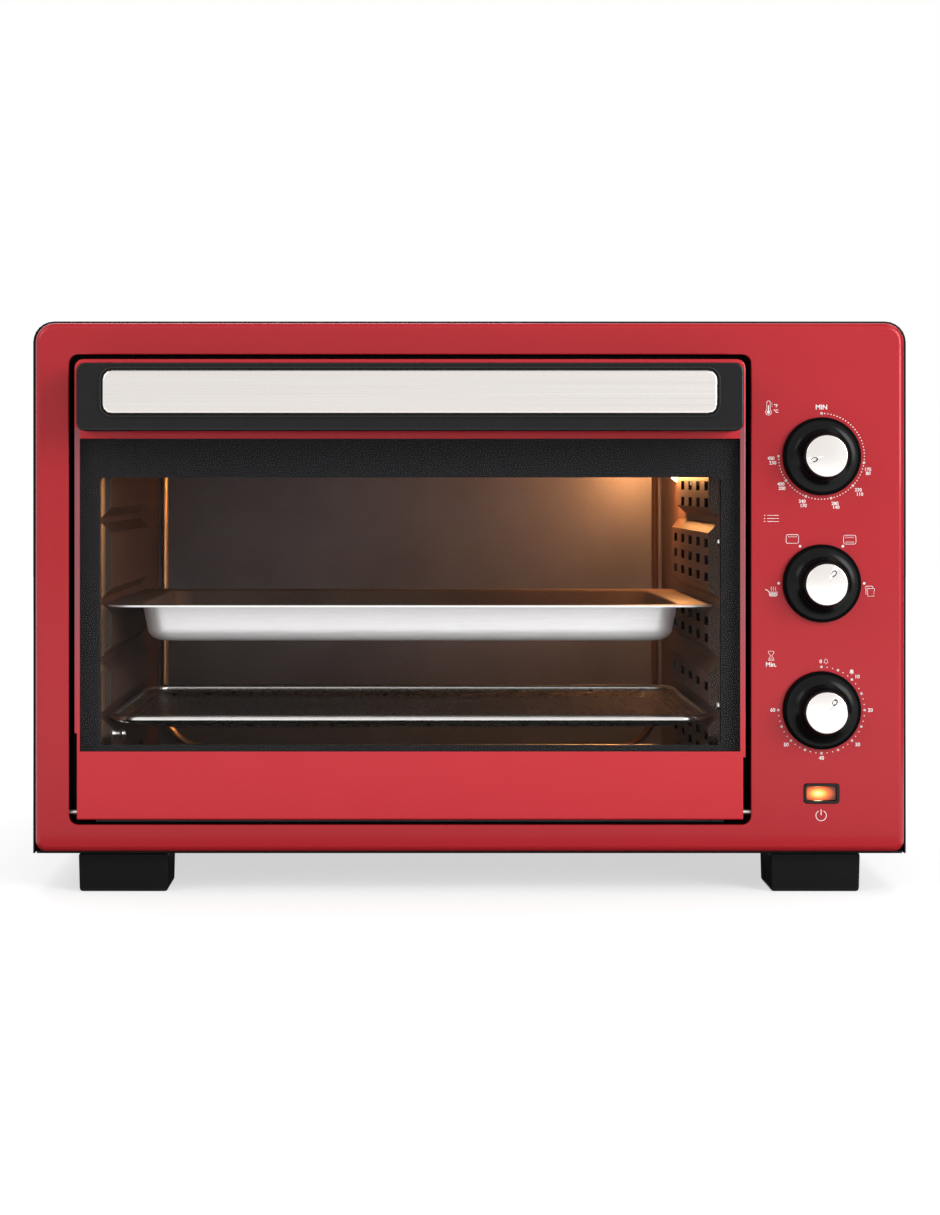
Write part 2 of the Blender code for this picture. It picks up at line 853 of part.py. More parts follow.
def wall_bores(side, ends):
    """Holes in one side wall for the heaters and, left or right, the bolt or the screws and lamp."""
    bores = []
    for number, (depth, height) in enumerate(heater_places()):
        outline = circle((at(depth), height), ceramic_radius + gap)
        bores.append(prism(f"heater_bore_{side}_{number}", [outline], "side", ends))
    if side == "left":
        places = [(bolt_place(), wall_bolt_radius + gap)]
    else:
        places = [(place, wall_screw_radius / 2 + gap) for place in screw_places()]
        places.append((lamp_place(), lamp_radius + gap))
    for number, ((depth, height), radius) in enumerate(places):
        outline = circle((at(depth), height), radius)
        bores.append(prism(f"wall_bore_{side}_{number}", [outline], "side", ends))
    return bores


def vents(ends):
    """The rows of slots through the right wall's blocks."""
    slots = []
    spans = block_spans()
    for number, ((low, high), rows) in enumerate(zip(spans, vent_rows)):
        columns = vent_top_columns if number == len(spans) - 1 else vent_columns
        for row in range(rows):
            middle = (low + high) / 2 + (row - (rows - 1) / 2) * vent_row_pitch
            for column in range(columns):
                start = cavity_start + vent_start + column * vent_pitch - vent_length / 2
                slot_z = (middle - vent_height / 2, middle + vent_height / 2)
                name = f"vent_{number}_{row}_{column}"
                slots.append(box(name, ends, (start, start + vent_length), slot_z))
    return slots


def heater_places():
    """The depth and height of each heater, the lower pair first."""
    heights = (cavity_bottom + heater_offset, cavity_top - heater_offset)
    depths = [cavity_start + share * cavity_depth for share in heater_setback_shares]
    return [(depth, height) for height in heights for depth in depths]


def screw_places():
    depth = cavity_start + wall_screw_setback
    return [(depth, cavity_bottom + share * cavity_height) for share in wall_screw_shares]


def bolt_place():
    return cavity_start + wall_bolt_setback, cavity_bottom + wall_bolt_share * cavity_height


def lamp_place():
    return cavity_start + lamp_setback, cavity_bottom + lamp_height_share * cavity_height


def cavity_walls():
    left_ends = (cavity_left - cavity_sheet - overrun, cavity_left + block_height + overrun)
    right_ends = (cavity_right - block_height - overrun, cavity_right + cavity_sheet + overrun)
    left = pressed_wall("cavity_left_wall", -1, short_top=False)
    cut(left, merged("left_wall_bores", wall_bores("left", left_ends)))
    finished(baked(left), "cavity_steel", smooth=False)
    right = pressed_wall("cavity_right_wall", 1, short_top=True)
    cut(right, merged("right_wall_bores", wall_bores("right", right_ends)))
    cut(right, merged("right_wall_vents", vents(right_ends)))
    finished(baked(right), "cavity_steel", smooth=False)


def cavity_sheets():
    wide = (cavity_left - cavity_sheet, cavity_right + cavity_sheet)
    ceiling_z = (cavity_top, cavity_top + cavity_sheet)
    floor_z = (cavity_bottom - cavity_sheet, cavity_bottom)
    ceiling = box("cavity_ceiling", wide, (cavity_start, cavity_end), ceiling_z)
    finished(ceiling, "cavity_steel", smooth=False)
    floor = box("cavity_floor", wide, (cavity_start - floor_reach, cavity_end), floor_z)
    finished(floor, "bare_steel", smooth=False)
    back_depth = (cavity_end + gap, cavity_end + gap + cavity_sheet)
    back = box("cavity_back_wall", wide, back_depth, (floor_z[0], ceiling_z[1]))
    bead_x = (cavity_left + bead_inset, cavity_right - bead_inset)
    bead_z = (cavity_bottom + bead_inset, cavity_top - bead_inset)
    path = [(x, at(back_depth[0]), z) for x, z in rounded_box(bead_x, bead_z, bead_corner, 6)]
    join(back, tube("back_wall_bead", path, bead_radius, closed=True))
    finished(baked(back), "cavity_steel")


def heater(name, depth, height):
    """A rod across the cavity, its ends fused into collared ceramic sleeves."""
    half = cavity_width / 2 + heater_overhang
    collar_out = cavity_width / 2 - gap
    collar_in = collar_out - ceramic_collar
    side = [
        (heater_radius / 2, half + ceramic_collar),
        (heater_radius / 2, half),
        (ceramic_radius, half),
        (ceramic_radius, collar_out),
        (ceramic_collar_radius, collar_out),
        (ceramic_collar_radius, collar_in),
        (heater_radius, collar_in),
    ]
    profile = [(0, side[0][1]), *side, *[(r, -h) for r, h in side[::-1]], (0, -side[0][1])]
    finished(turned(name, profile, (door_x, at(depth), height), (1, 0, 0), 16), "bare_steel")


def lamp():
    depth, height = lamp_place()
    place = (cavity_right + cavity_sheet, at(depth), height)
    inward = (-1, 0, 0)
    tip = cavity_sheet + lamp_dome
    flange = lamp_radius + 2 * lamp_glass
    base = -gap - lamp_glass
    dome = arc((0, 0), 1, math.pi / 2, 0, 6)
    outer = [(lamp_radius * x, tip * y) for x, y in dome]
    inner = [((lamp_radius - lamp_glass) * x, (tip - lamp_glass) * y) for x, y in dome[::-1]]
    profile = [*outer, (lamp_radius, -gap), (flange, -gap), (flange, base), (inner[0][0], base), *inner]
    finished(turned("lamp_cover", profile, place, inward, 24), "clear_glass")
    seat = base - gap
    bulb_top = tip - 2 * lamp_glass
    bulb = arc((0, bulb_top - lamp_bulb_radius), lamp_bulb_radius, math.pi / 2, -lamp_bulb_tuck, 6)
    neck = lamp_bulb_radius * lamp_neck_share
    bulb_profile = [*bulb, (neck, seat + gap), (0, seat + gap)]
    finished(turned("lamp_bulb", bulb_profile, place, inward, 16), "clear_glass")
    back = seat - lamp_holder_depth
    holder = [
        (0, seat),
        (lamp_holder_radius, seat),
        (lamp_holder_radius, (seat + back) / 2),
        (lamp_holder_radius / 2, back),
        (0, back),
    ]
    finished(turned("lamp_holder", holder, place, inward, 20), "ceramic")


def wall_fasteners():
    """Two screws in the right wall's front edge and a threaded bolt end in the left wall."""
    for number, (depth, height) in enumerate(screw_places()):
        name = ("wall_screw_upper", "wall_screw_lower")[number]
        head = arc((0, gap), 1, math.pi / 2, 0, 4)
        dome = [(wall_screw_radius * x, gap + wall_screw_head * (y - gap)) for x, y in head]
        shank = wall_screw_radius / 2
        tail = -cavity_sheet - wall_screw_radius
        profile = [*dome, (shank, gap), (shank, tail), (0, tail)]
        place = (cavity_right, at(depth), height)
        finished(turned(name, profile, place, (-1, 0, 0), 16), "bare_steel")
    depth, height = bolt_place()
    top = block_height + wall_bolt_length
    tail = -cavity_sheet - wall_bolt_radius
    root = wall_bolt_radius * wall_bolt_root_share
    pitch = wall_bolt_length / wall_bolt_turns
    profile = [(0, top)]
    for turn in range(wall_bolt_turns):
        crest = top - turn * pitch - pitch / 2
        profile += [(root, crest + pitch / 2), (wall_bolt_radius, crest)]
    profile += [(root, top - wall_bolt_length), (root, tail), (0, tail)]
    place = (cavity_left, at(depth), height)
    finished(turned("wall_bolt_left", profile, place, (1, 0, 0), 14), "bare_steel")


def dished(name, rings, sheet, shift=0):
    """A pressed sheet dish: (half width, half depth, corner, height) rings, from its rim to its bottom."""
    shape = bmesh.new()
    middle = cavity_start + tray_setback + tray_depth / 2
    loops = []
    for half_x, half_y, corner, height in rings:
        outline = rounded_box((-half_x, half_x), (-half_y, half_y), corner, 4)
        verts = [shape.verts.new((door_x + x, at(middle) + shift + y, height)) for x, y in outline]
        loops.append(verts)
    for outer, inner in zip(loops, loops[1:]):
        for k in range(len(outer)):
            after = (k + 1) % len(outer)
            shape.faces.new((outer[k], outer[after], inner[after], inner[k]))
    shape.faces.new(loops[-1])
    mesh = bpy.data.meshes.new(name)
    shape.to_mesh(mesh)
    shape.free()
    body = bpy.data.objects.new(name, mesh)
    parts.objects.link(body)
    wall = body.modifiers.new("Solidify", "SOLIDIFY")
    wall.thickness = sheet
    wall.offset = -1
    return baked(body)


def groove_seat(level, reach, radius=0):
    """The height at which an edge, round or sharp, rests on the sloping lower side of a rack groove."""
    slope = block_slope / block_height
    return level - groove_base - reach * slope + (radius + gap) * math.hypot(1, slope)


def baking_pan():
    half_x = cavity_width / 2 - tray_play
    half_y = tray_depth / 2
    top = groove_seat(rack_levels()[2], tray_play) + tray_sheet
    well_x = half_x - pan_flange_side
    well_y = half_y - pan_flange_end
    low = top - tray_sheet - pan_depth
    rings = [
        (half_x, half_y, pan_corner / 2, top),
        (well_x + tray_sheet, well_y + tray_sheet, pan_corner, top),
        (well_x, well_y, pan_corner, top - tray_sheet),
        (well_x - pan_taper / 2, well_y - pan_taper / 2, pan_corner, low + pan_taper),
        (well_x - 2 * pan_taper, well_y - 2 * pan_taper, pan_corner / 2, low + tray_sheet),
    ]
    finished(dished("baking_pan", rings, tray_sheet), "satin_steel")


def mesh_tray():
    half_x = cavity_width / 2 - mesh_play
    half_y = tray_depth / 2
    rim = mesh_rim_radius
    middle = groove_seat(rack_levels()[0], mesh_play + rim, rim)
    low = middle - mesh_depth
    rings = [
        (half_x - rim, half_y - rim, mesh_corner - rim, middle),
        (half_x - rim - mesh_taper, half_y - rim - mesh_taper, mesh_corner / 2, low),
    ]
    body = dished("mesh_tray", rings, tray_sheet)
    ring_x = (door_x - half_x + rim, door_x + half_x - rim)
    centre = at(cavity_start + tray_setback) + half_y
    ring_y = (centre - half_y + rim, centre + half_y - rim)
    path = [(x, y, middle) for x, y in rounded_box(ring_x, ring_y, mesh_corner, 6)]
    join(body, tube("mesh_tray_rim", path, rim, closed=True))
    slots = []
    field_x = 2 * (half_x - 2 * mesh_taper)
    field_y = 2 * (half_y - 2 * mesh_taper)
    pitch_x = field_x / mesh_slots
    pitch_y = field_y / mesh_slot_rows
    through = (low - overrun, low + overrun)
    for column in range(mesh_slots):
        x = door_x + (column - (mesh_slots - 1) / 2) * pitch_x
        for row in range(mesh_slot_rows):
            y = centre - front_y + (row - (mesh_slot_rows - 1) / 2) * pitch_y
            reach = pitch_y * mesh_slot_share / 2
            slot_x = (x - mesh_slot_width / 2, x + mesh_slot_width / 2)
            slots.append(box(f"mesh_slot_{column}_{row}", slot_x, (y - reach, y + reach), through))
    cut(body, merged("mesh_tray_slots", slots))
    return finished(baked(body), "bare_steel")


def crumb_tray():
    """A shallow tray lying loose on the cavity floor, its rim turned up."""
    half_x = cavity_width / 2 - crumb_inset
    half_y = cavity_depth / 2 - crumb_inset
    shift = (cavity_depth - tray_depth) / 2 - tray_setback
    top = cavity_bottom + gap + crumb_lip
    low = cavity_bottom + gap + crumb_sheet
    rings = [
        (half_x, half_y, crumb_inset, top),
        (half_x - crumb_inset, half_y - crumb_inset, crumb_inset, low),
    ]
    finished(dished("crumb_tray", rings, crumb_sheet, shift), "bare_steel")


def knob(name, x, z):
    """A knob with a round foot, a flare drawn in to its grip, and a recess for the cap."""
    rim_top = knob_clearance + knob_rim
    bore = shaft_radius + gap
    flare_top = knob_height * knob_flare_share
    flare = [
        (
            knob_face_radius - (knob_face_radius - knob_grip_radius) * math.cos(t),
            flare_top - (flare_top - rim_top) * math.sin(t),
        )
        for t in (k * math.pi / 10 for k in range(6))
    ]
    profile = [
        (0, knob_height - knob_cap_recess),
        (knob_cap_radius + gap, knob_height - knob_cap_recess),
        (knob_cap_radius + gap, knob_height),
        (knob_grip_radius, knob_height - knob_cap_recess / 2),
        *flare,
        (knob_radius - knob_rim_round, rim_top - knob_rim_round),
        (knob_radius, rim_top - 2 * knob_rim_round),
        (knob_radius, knob_clearance),
        (bore, knob_clearance),
        (bore, knob_clearance + knob_bore_depth),
        (0, knob_clearance + knob_bore_depth),
    ]
    front = (x, front_y, z)
    body = finished(turned(f"{name}_knob", profile, front, (0, -1, 0), 28), "black_plastic")
    seat = knob_height - knob_cap_recess + gap
    top = seat + knob_cap_height
    cap_profile = [
        (0, top),
        (knob_cap_radius - knob_cap_round, top),
        (knob_cap_radius, top - knob_cap_round),
        (knob_cap_radius, seat),
        (0, seat),
    ]
    cap = finished(turned(f"{name}_cap", cap_profile, front, (0, -1, 0), 28), "satin_steel")
    end = knob_clearance + knob_bore_depth - gap
    inner = -control_start - shaft_bore_depth + gap
    shaft_profile = [(0, end), (shaft_radius, end), (shaft_radius, inner), (0, inner)]
    shaft = finished(turned(f"{name}_shaft", shaft_profile, front, (0, -1, 0), 16), "bare_steel")
    ride([body, cap, shaft], f"{name}_axis", front)


def ride(objects, name, place):
    """Parents the parts of one moving piece to an empty on its joint."""
    pivot = bpy.data.objects.new(name, None)
    pivot.location = place
    parts.objects.link(pivot)
    bpy.context.view_layer.update()
    for obj in objects:
        obj.parent = pivot
        obj.matrix_parent_inverse = pivot.matrix_world.inverted()


def shaft_bore(name, x, z):
    ends = (-overrun, control_start + shaft_bore_depth)
    return prism(f"{name}_shaft_bore", [circle((x, z), shaft_radius + gap)], "front", ends)


def boxed_control(name, size, x, z):
    wide, deep, high = size
    depth = (control_start, control_start + deep)
    body = box(name, (x - wide / 2, x + wide / 2), depth, (z - high / 2, z + high / 2))
    edge = body.modifiers.new("Bevel", "BEVEL")
    edge.width = control_edge
    edge.segments = 1
    cut(body, shaft_bore(name, x, z))
    finished(baked(body), "black_plastic", smooth=False)


def timer(x, z):
    """The clockwork timer's round case, with its bell on a stem behind."""
    start = -control_start
    end = start - timer_depth
    profile = [(0, start), (timer_radius, start), (timer_radius, end), (0, end)]
    case = turned("timer_body", profile, (x, front_y, z), (0, -1, 0), 28)
    cut(case, shaft_bore("timer", x, z))
    finished(baked(case), "bare_steel")
    back = -gap
    far = back - bell_stem - bell_depth
    bell_rim = back - bell_stem
    crown = bell_radius * bell_crown_share
    gong = [
        (0, back),
        (bell_stem_radius, back),
        (bell_stem_radius, far),
        (crown, far),
        (bell_radius - bell_sheet, far + bell_depth / 3),
        (bell_radius - bell_sheet, bell_rim),
        (bell_radius, bell_rim),
        (bell_radius, far + bell_depth / 4),
        (crown + bell_sheet, far - bell_sheet),
        (0, far - bell_sheet),
    ]
    place = (x, at(control_start + timer_depth), z)
    finished(turned("timer_bell", gong, place, (0, -1, 0), 20), "bare_steel")


def controls():
    places = knob_places()
    boxed_control("thermostat_body", thermostat_size, *places[0])
    boxed_control("selector_body", selector_size, *places[1])
    timer(*places[2])
    for name, place in zip(("temperature", "function", "timer"), places):
        knob(name, *place)


def centred_box(x, z, width, height, corner):
    return rounded_box((x - width / 2, x + width / 2), (z - height / 2, z + height / 2), corner, 3)


def indicator():
    x, z = window_place()
    outer = centred_box(x, z, window_width, window_height, window_corner)
    lens_width = window_width - 2 * bezel_wall
    lens_height = window_height - 2 * bezel_wall
    mouth = centred_box(x, z, lens_width, lens_height, window_corner / 2)
    bezel = prism("indicator_bezel", [outer, mouth], "front", (-bezel_proud, bezel_depth))
    finished(bezel, "black_plastic", smooth=False)
    lens_size = (lens_width - 2 * gap, lens_height - 2 * gap)
    lens = centred_box(x, z, *lens_size, window_corner / 3)
    lens_depth = (lens_recess, lens_recess + lens_thickness)
    finished(prism("indicator_lens", [lens], "front", lens_depth), "amber", smooth=False)
    tip = -lens_depth[1] - gap
    dome = arc((0, tip - pilot_radius), pilot_radius, math.pi / 2, 0, 4)
    pilot = [*dome, (pilot_radius, tip - pilot_length), (0, tip - pilot_length)]
    finished(turned("indicator_lamp", pilot, (x, front_y, z), (0, -1, 0), 16), "amber")


def door_outline(inset):
    """The door's outline, drawn in a little on each side at the foot to clear the hinges."""
    left, right = door_left + inset, door_right - inset
    low, high = door_bottom + inset, door_top - inset
    foot_left, foot_right = left + door_step, right - door_step
    return rounded(
        [
            (foot_left, low, door_foot_corner),
            (foot_right, low, door_foot_corner),
            (foot_right, low + door_step_right_height, 0),
            (right, low + door_step_right_height, 0),
            (right, high, door_corner),
            (left, high, door_corner),
            (left, low + door_step_left_height, 0),
            (foot_left, low + door_step_left_height, 0),
        ]
    )


def door_window():
    """The places of the red frame's window: along X, then along Z."""
    window_x = (door_left + door_side_bar, door_right - door_side_bar)
    return window_x, (door_bottom + door_lower_panel, door_top - door_upper_panel)


def pin_profile(radius, head_radius, start, shoulder, end):
    profile = [(0, end), (radius, end), (radius, shoulder), (head_radius, shoulder)]
    return [*profile, (head_radius, start), (0, start)]


def door_pins():
    """A headed pin each side, from inside the door into the front frame's wall."""
    made = []
    for side, toward, edge in (("left", -1, door_left), ("right", 1, door_right)):
        inner = door_step + door_side_wall + gap
        reach = door_side_gap + frame_relief + frame_wall - gap
        profile = pin_profile(
            hinge_pin_radius,
            hinge_pin_head_radius,
            -inner - hinge_pin_head,
            -inner,
            reach,
        )
        place = (edge, at(hinge_setback), hinge_z)
        pin = turned(f"hinge_pin_{side}", profile, place, (toward, 0, 0), 20)
        made.append(finished(pin, "bare_steel"))
    return made


def door_arms():
    """A curved strap each side, from the door back through the front frame."""
    made = []
    for side, span in arm_spans().items():
        outline = arm_outline(hinge_arm_width, hinge_arm_start, hinge_arm_end)
        strap = prism(f"hinge_arm_{side}", [outline], "side", span)
        edge = door_left if side == "left" else door_right
        toward = 1 if side == "left" else -1
        wall = edge + toward * (door_step + door_side_wall + gap)
        inner = span[1] - weld if side == "left" else span[0] + weld
        middle = hinge_z + hinge_arm_radius * math.cos(hinge_arm_start)
        depth = hinge_setback + hinge_arm_radius * math.sin(hinge_arm_start)
        foot_x = tuple(sorted((wall, inner)))
        foot_depths = (depth - hinge_arm_width, depth + hinge_arm_width / 2)
        foot_z = (middle - hinge_arm_foot, middle + hinge_arm_foot)
        join(strap, box(f"hinge_arm_foot_{side}", foot_x, foot_depths, foot_z))
        made.append(finished(baked(strap), "bare_steel", smooth=False))
    return made


def door_shell():
    front = -door_proud
    body = prism("door_frame", [door_outline(0)], "front", (front, door_back))
    body = soften(body, lambda co: near(co.y, at(front)), door_edge_round, 2)
    side = door_step + door_side_wall
    pocket_x = (door_left + side, door_right - side)
    pocket_z = (door_bottom + door_sheet, door_top - door_sheet)
    pocket_corner = door_corner - door_sheet
    pocket = rounded(
        [
            (pocket_x[0], pocket_z[0], 0),
            (pocket_x[1], pocket_z[0], 0),
            (pocket_x[1], pocket_z[1], pocket_corner),
            (pocket_x[0], pocket_z[1], pocket_corner),
        ]
    )
    hollow = prism("door_pocket", [pocket], "front", (front + door_sheet, door_back + overrun))
    window = rounded_box(*door_window(), 0)
    through = (front - overrun, door_back + overrun)
    cut(body, hollow, prism("door_window", [window], "front", through))
    bores = turned(
        "door_pin_bores",
        [
            (0, cover_half),
            (hinge_pin_radius + gap, cover_half),
            (hinge_pin_radius + gap, -cover_half),
            (0, -cover_half),
        ],
        (0, at(hinge_setback), hinge_z),
        (1, 0, 0),
    )
    cut(body, bores)
    return finished(baked(body), "red_enamel")


def glass_span():
    start = door_sheet - door_proud + gap
    return start, start + glass_thickness


def door_glass():
    window_x, window_z = door_window()
    side = door_step + door_side_wall + gap
    glass_x = (door_left + side, door_right - side)
    glass_z = (window_z[0] - glass_overlap, window_z[1] + glass_overlap)
    return finished(box("door_glass", glass_x, glass_span(), glass_z), "clear_glass", smooth=False)


def door_inner_frame():
    """The pressed plate that closes the door's back, with a collar that holds the glass."""
    plate_x = (door_left + inner_frame_margin, door_right - inner_frame_margin)
    low = door_bottom + door_sheet + inner_frame_play
    high = door_top - door_sheet - inner_frame_play
    window_x = (plate_x[0] + inner_window_side, plate_x[1] - inner_window_side)
    window_z = (door_bottom + inner_window_bottom, door_top - inner_window_top)
    mouth = rounded_box(window_x, window_z, inner_window_corner)
    plate = [rounded_box(plate_x, (low, high), door_corner), mouth]
    body = prism("door_inner_frame", plate, "front", (door_back - inner_sheet, door_back))
    wall_x = (window_x[0] - inner_sheet, window_x[1] + inner_sheet)
    wall_z = (window_z[0] - inner_sheet, window_z[1] + inner_sheet)
    slack = weld / 2
    slim_x = (window_x[0] - slack, window_x[1] + slack)
    slim_z = (window_z[0] - slack, window_z[1] + slack)
    collar = [
        rounded_box(wall_x, wall_z, inner_window_corner + inner_sheet),
        rounded_box(slim_x, slim_z, inner_window_corner + slack),
    ]
    collar_ends = (glass_span()[1] + gap, door_back - inner_sheet / 2)
    join(body, prism("door_glass_collar", collar, "front", collar_ends))
    return finished(baked(body), "black_steel")


def handle():
    middle = door_x
    top = door_top - housing_drop
    face = -door_proud - housing_reach
    outline = centred_box(middle, top - housing_height / 2, housing_width, housing_height, housing_corner)
    body = prism("handle_housing", [outline], "front", (face, -door_proud - gap))
    body = soften(body, lambda co: near(co.y, at(face)), housing_edge_round, 2)
    plate_z = top - plate_drop - plate_height / 2
    rim_width = plate_width + 2 * lip_margin
    rim_height = plate_height + 2 * lip_margin
    rim = [
        centred_box(middle, plate_z, rim_width, rim_height, plate_corner + lip_margin),
        centred_box(
            middle,
            plate_z,
            rim_width - 2 * lip_wall,
            rim_height - 2 * lip_wall,
            plate_corner + lip_margin - lip_wall,
        ),
    ]
    join(body, prism("handle_lip", rim, "front", (face - lip_height, face + weld)))
    seat = centred_box(middle, plate_z, plate_width + 2 * gap, plate_height + 2 * gap, plate_corner)
    seat_ends = (face - lip_height / 2, face + plate_seat)
    grip_x = (middle - housing_width / 2 + grip_end_wall, middle + housing_width / 2 - grip_end_wall)
    low = top - housing_height
    grip_ends = (-door_proud - gap - grip_depth, overrun)
    grip = box("handle_grip", grip_x, grip_ends, (low - overrun, low + grip_height))
    cut(body, prism("handle_seat", [seat], "front", seat_ends), grip)
    body = finished(baked(body), "black_plastic")
    plate_outline = centred_box(middle, plate_z, plate_width, plate_height, plate_corner)
    back = face + plate_seat - gap
    plate_ends = (back - plate_thickness, back)
    plate = prism("handle_plate", [plate_outline], "front", plate_ends)
    plate = soften(plate, lambda co: near(co.y, at(plate_ends[0])), plate_edge_round, 3)
    return [body, finished(plate, "satin_steel")]


def door():
    pieces = [door_shell(), door_glass(), door_inner_frame(), *handle(), *door_pins(), *door_arms()]
    ride(pieces, "door_axis", (door_x, at(hinge_setback), hinge_z))


def main():
    for obj in list(bpy.data.objects):
        bpy.data.objects.remove(obj)
    bpy.context.scene.collection.children.link(parts)
    bpy.context.scene.collection.children.link(cutters)
    front_panel()
    front_frame()
    outer_cover()
    base_plate()
    rear_panel()
    cord_gland()
    for name, place in foot_places().items():
        foot(name, place)
        foot_screw(name, place)
    cavity_walls()
    cavity_sheets()
    for number, place in enumerate(heater_places()):
        heater(("lower", "upper")[number // 2] + ("_front", "_rear")[number % 2] + "_heater", *place)
    lamp()
    wall_fasteners()
    baking_pan()
    mesh_tray()
    crumb_tray()
    controls()
    indicator()
    door()


main()
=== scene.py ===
"""The countertop electric oven's looks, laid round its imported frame. Metres, +Z up, front along -Y."""

import json
import math

import bmesh
import bpy
from bpy.props import FloatProperty, FloatVectorProperty, IntProperty, PointerProperty
from mathutils import Matrix, Vector

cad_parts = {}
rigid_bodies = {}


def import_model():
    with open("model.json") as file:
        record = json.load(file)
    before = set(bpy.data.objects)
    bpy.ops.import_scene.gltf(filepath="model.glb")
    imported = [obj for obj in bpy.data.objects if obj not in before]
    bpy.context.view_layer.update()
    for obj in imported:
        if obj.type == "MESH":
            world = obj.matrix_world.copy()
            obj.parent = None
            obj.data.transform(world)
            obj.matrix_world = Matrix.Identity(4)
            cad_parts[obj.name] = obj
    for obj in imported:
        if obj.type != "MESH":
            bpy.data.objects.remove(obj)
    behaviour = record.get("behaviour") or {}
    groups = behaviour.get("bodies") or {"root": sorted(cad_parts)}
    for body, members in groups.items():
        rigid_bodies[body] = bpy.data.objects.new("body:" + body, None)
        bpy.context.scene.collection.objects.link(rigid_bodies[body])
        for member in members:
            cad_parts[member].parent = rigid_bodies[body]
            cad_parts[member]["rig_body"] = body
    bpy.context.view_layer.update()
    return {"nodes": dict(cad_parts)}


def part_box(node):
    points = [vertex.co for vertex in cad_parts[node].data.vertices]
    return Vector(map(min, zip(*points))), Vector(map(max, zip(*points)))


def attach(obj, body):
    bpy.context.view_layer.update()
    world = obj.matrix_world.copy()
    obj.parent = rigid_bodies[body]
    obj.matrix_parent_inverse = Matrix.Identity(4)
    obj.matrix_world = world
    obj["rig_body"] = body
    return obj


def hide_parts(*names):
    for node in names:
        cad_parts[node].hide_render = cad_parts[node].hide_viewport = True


bl_info = {
    "name": "Electric oven",
    "version": (1, 0, 0),
    "blender": (4, 5, 0),
    "location": "3D View > Sidebar > Oven",
    "description": "Dresses a countertop electric oven with its finishes, dials, knobs, handle and inner fittings",
    "category": "Object",
}

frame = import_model()

mm = 0.001

# Places read from the frame
panel_low, panel_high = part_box("front_panel")
front_y = panel_low.y
door_low, door_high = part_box("door_frame")
door_x = (door_low.x + door_high.x) / 2
glass_low, glass_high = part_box("door_glass")
cavity_low = Vector((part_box("cavity_left_wall")[1].x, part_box("cavity_floor")[0].y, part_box("cavity_floor")[1].z))
cavity_high = Vector((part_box("cavity_right_wall")[0].x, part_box("cavity_back_wall")[0].y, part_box("cavity_ceiling")[0].z))


def middle(node):
    low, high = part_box(node)
    return (low + high) / 2


dials = {name: middle(f"{name}_knob") for name in ("temperature", "function", "timer")}


class OvenColours(bpy.types.PropertyGroup):
    """Colours of the oven's finishes."""

    enamel: FloatVectorProperty(
        name="Enamel",
        description="The red of the front and the door",
        subtype="COLOR",
        default=(0.4, 0.016, 0.023),
        min=0,
        max=1,
    )
    paint: FloatVectorProperty(
        name="Black paint",
        description="The painted cover, base and back",
        subtype="COLOR",
        default=(0.012, 0.012, 0.013),
        min=0,
        max=1,
    )
    plastic: FloatVectorProperty(
        name="Black plastic",
        description="Knobs, handle housing and feet",
        subtype="COLOR",
        default=(0.009, 0.009, 0.01),
        min=0,
        max=1,
    )
    border: FloatVectorProperty(
        name="Glass border",
        description="The dark print round the door glass",
        subtype="COLOR",
        default=(0.0205, 0.0205, 0.022),
        min=0,
        max=1,
    )
    coating: FloatVectorProperty(
        name="Cavity coating",
        description="The non-stick coating of the cavity walls",
        subtype="COLOR",
        default=(0.135, 0.13, 0.145),
        min=0,
        max=1,
    )
    steel: FloatVectorProperty(
        name="Steel",
        description="Brushed steel of the handle plate, the caps and the pan",
        subtype="COLOR",
        default=(0.8, 0.76, 0.73),
        min=0,
        max=1,
    )
    ink: FloatVectorProperty(
        name="Ink",
        description="The print on the control strip",
        subtype="COLOR",
        default=(0.86, 0.82, 0.81),
        min=0,
        max=1,
    )
    glow: FloatVectorProperty(
        name="Lamp glow",
        description="The light of the oven lamp",
        subtype="COLOR",
        default=(1.0, 0.42, 0.13),
        min=0,
        max=1,
    )


class OvenSizes(bpy.types.PropertyGroup):
    """Sizes of the pieces that are added to the frame."""

    ink_height: FloatProperty(
        name="Ink height",
        description="How far the print stands off the enamel",
        default=0.05 * mm,
        min=0.01 * mm,
        unit="LENGTH",
    )
    turning_steps: IntProperty(
        name="Turning steps",
        description="Facets round each turned piece",
        default=96,
        min=24,
        max=256,
    )
    lamp_power: FloatProperty(
        name="Lamp power",
        description="Strength of the oven lamp's light in watts",
        default=0.9,
        min=0,
    )


def colours():
    return bpy.context.scene.oven_colours


def sizes():
    return bpy.context.scene.oven_sizes


# Selecting and shaping


def pick(*objects):
    """Selects only these objects, the first of them active."""
    if bpy.context.mode != "OBJECT":
        bpy.ops.object.mode_set(mode="OBJECT")
    bpy.ops.object.select_all(action="DESELECT")
    for obj in objects:
        obj.select_set(True)
    bpy.context.view_layer.objects.active = objects[0]


def settled(name):
    """Names the active object and puts its place into its mesh."""
    obj = bpy.context.object
    pick(obj)
    bpy.ops.object.transform_apply(location=True, rotation=True, scale=True)
    obj.name = name
    obj.data.name = name
    return obj


def editing(obj, everything=True):
    """Opens a piece for editing, with all or nothing of it selected."""
    pick(obj)
    bpy.ops.object.mode_set(mode="EDIT")
    bpy.ops.mesh.select_mode(type="VERT")
    bpy.ops.mesh.select_all(action="SELECT" if everything else "DESELECT")


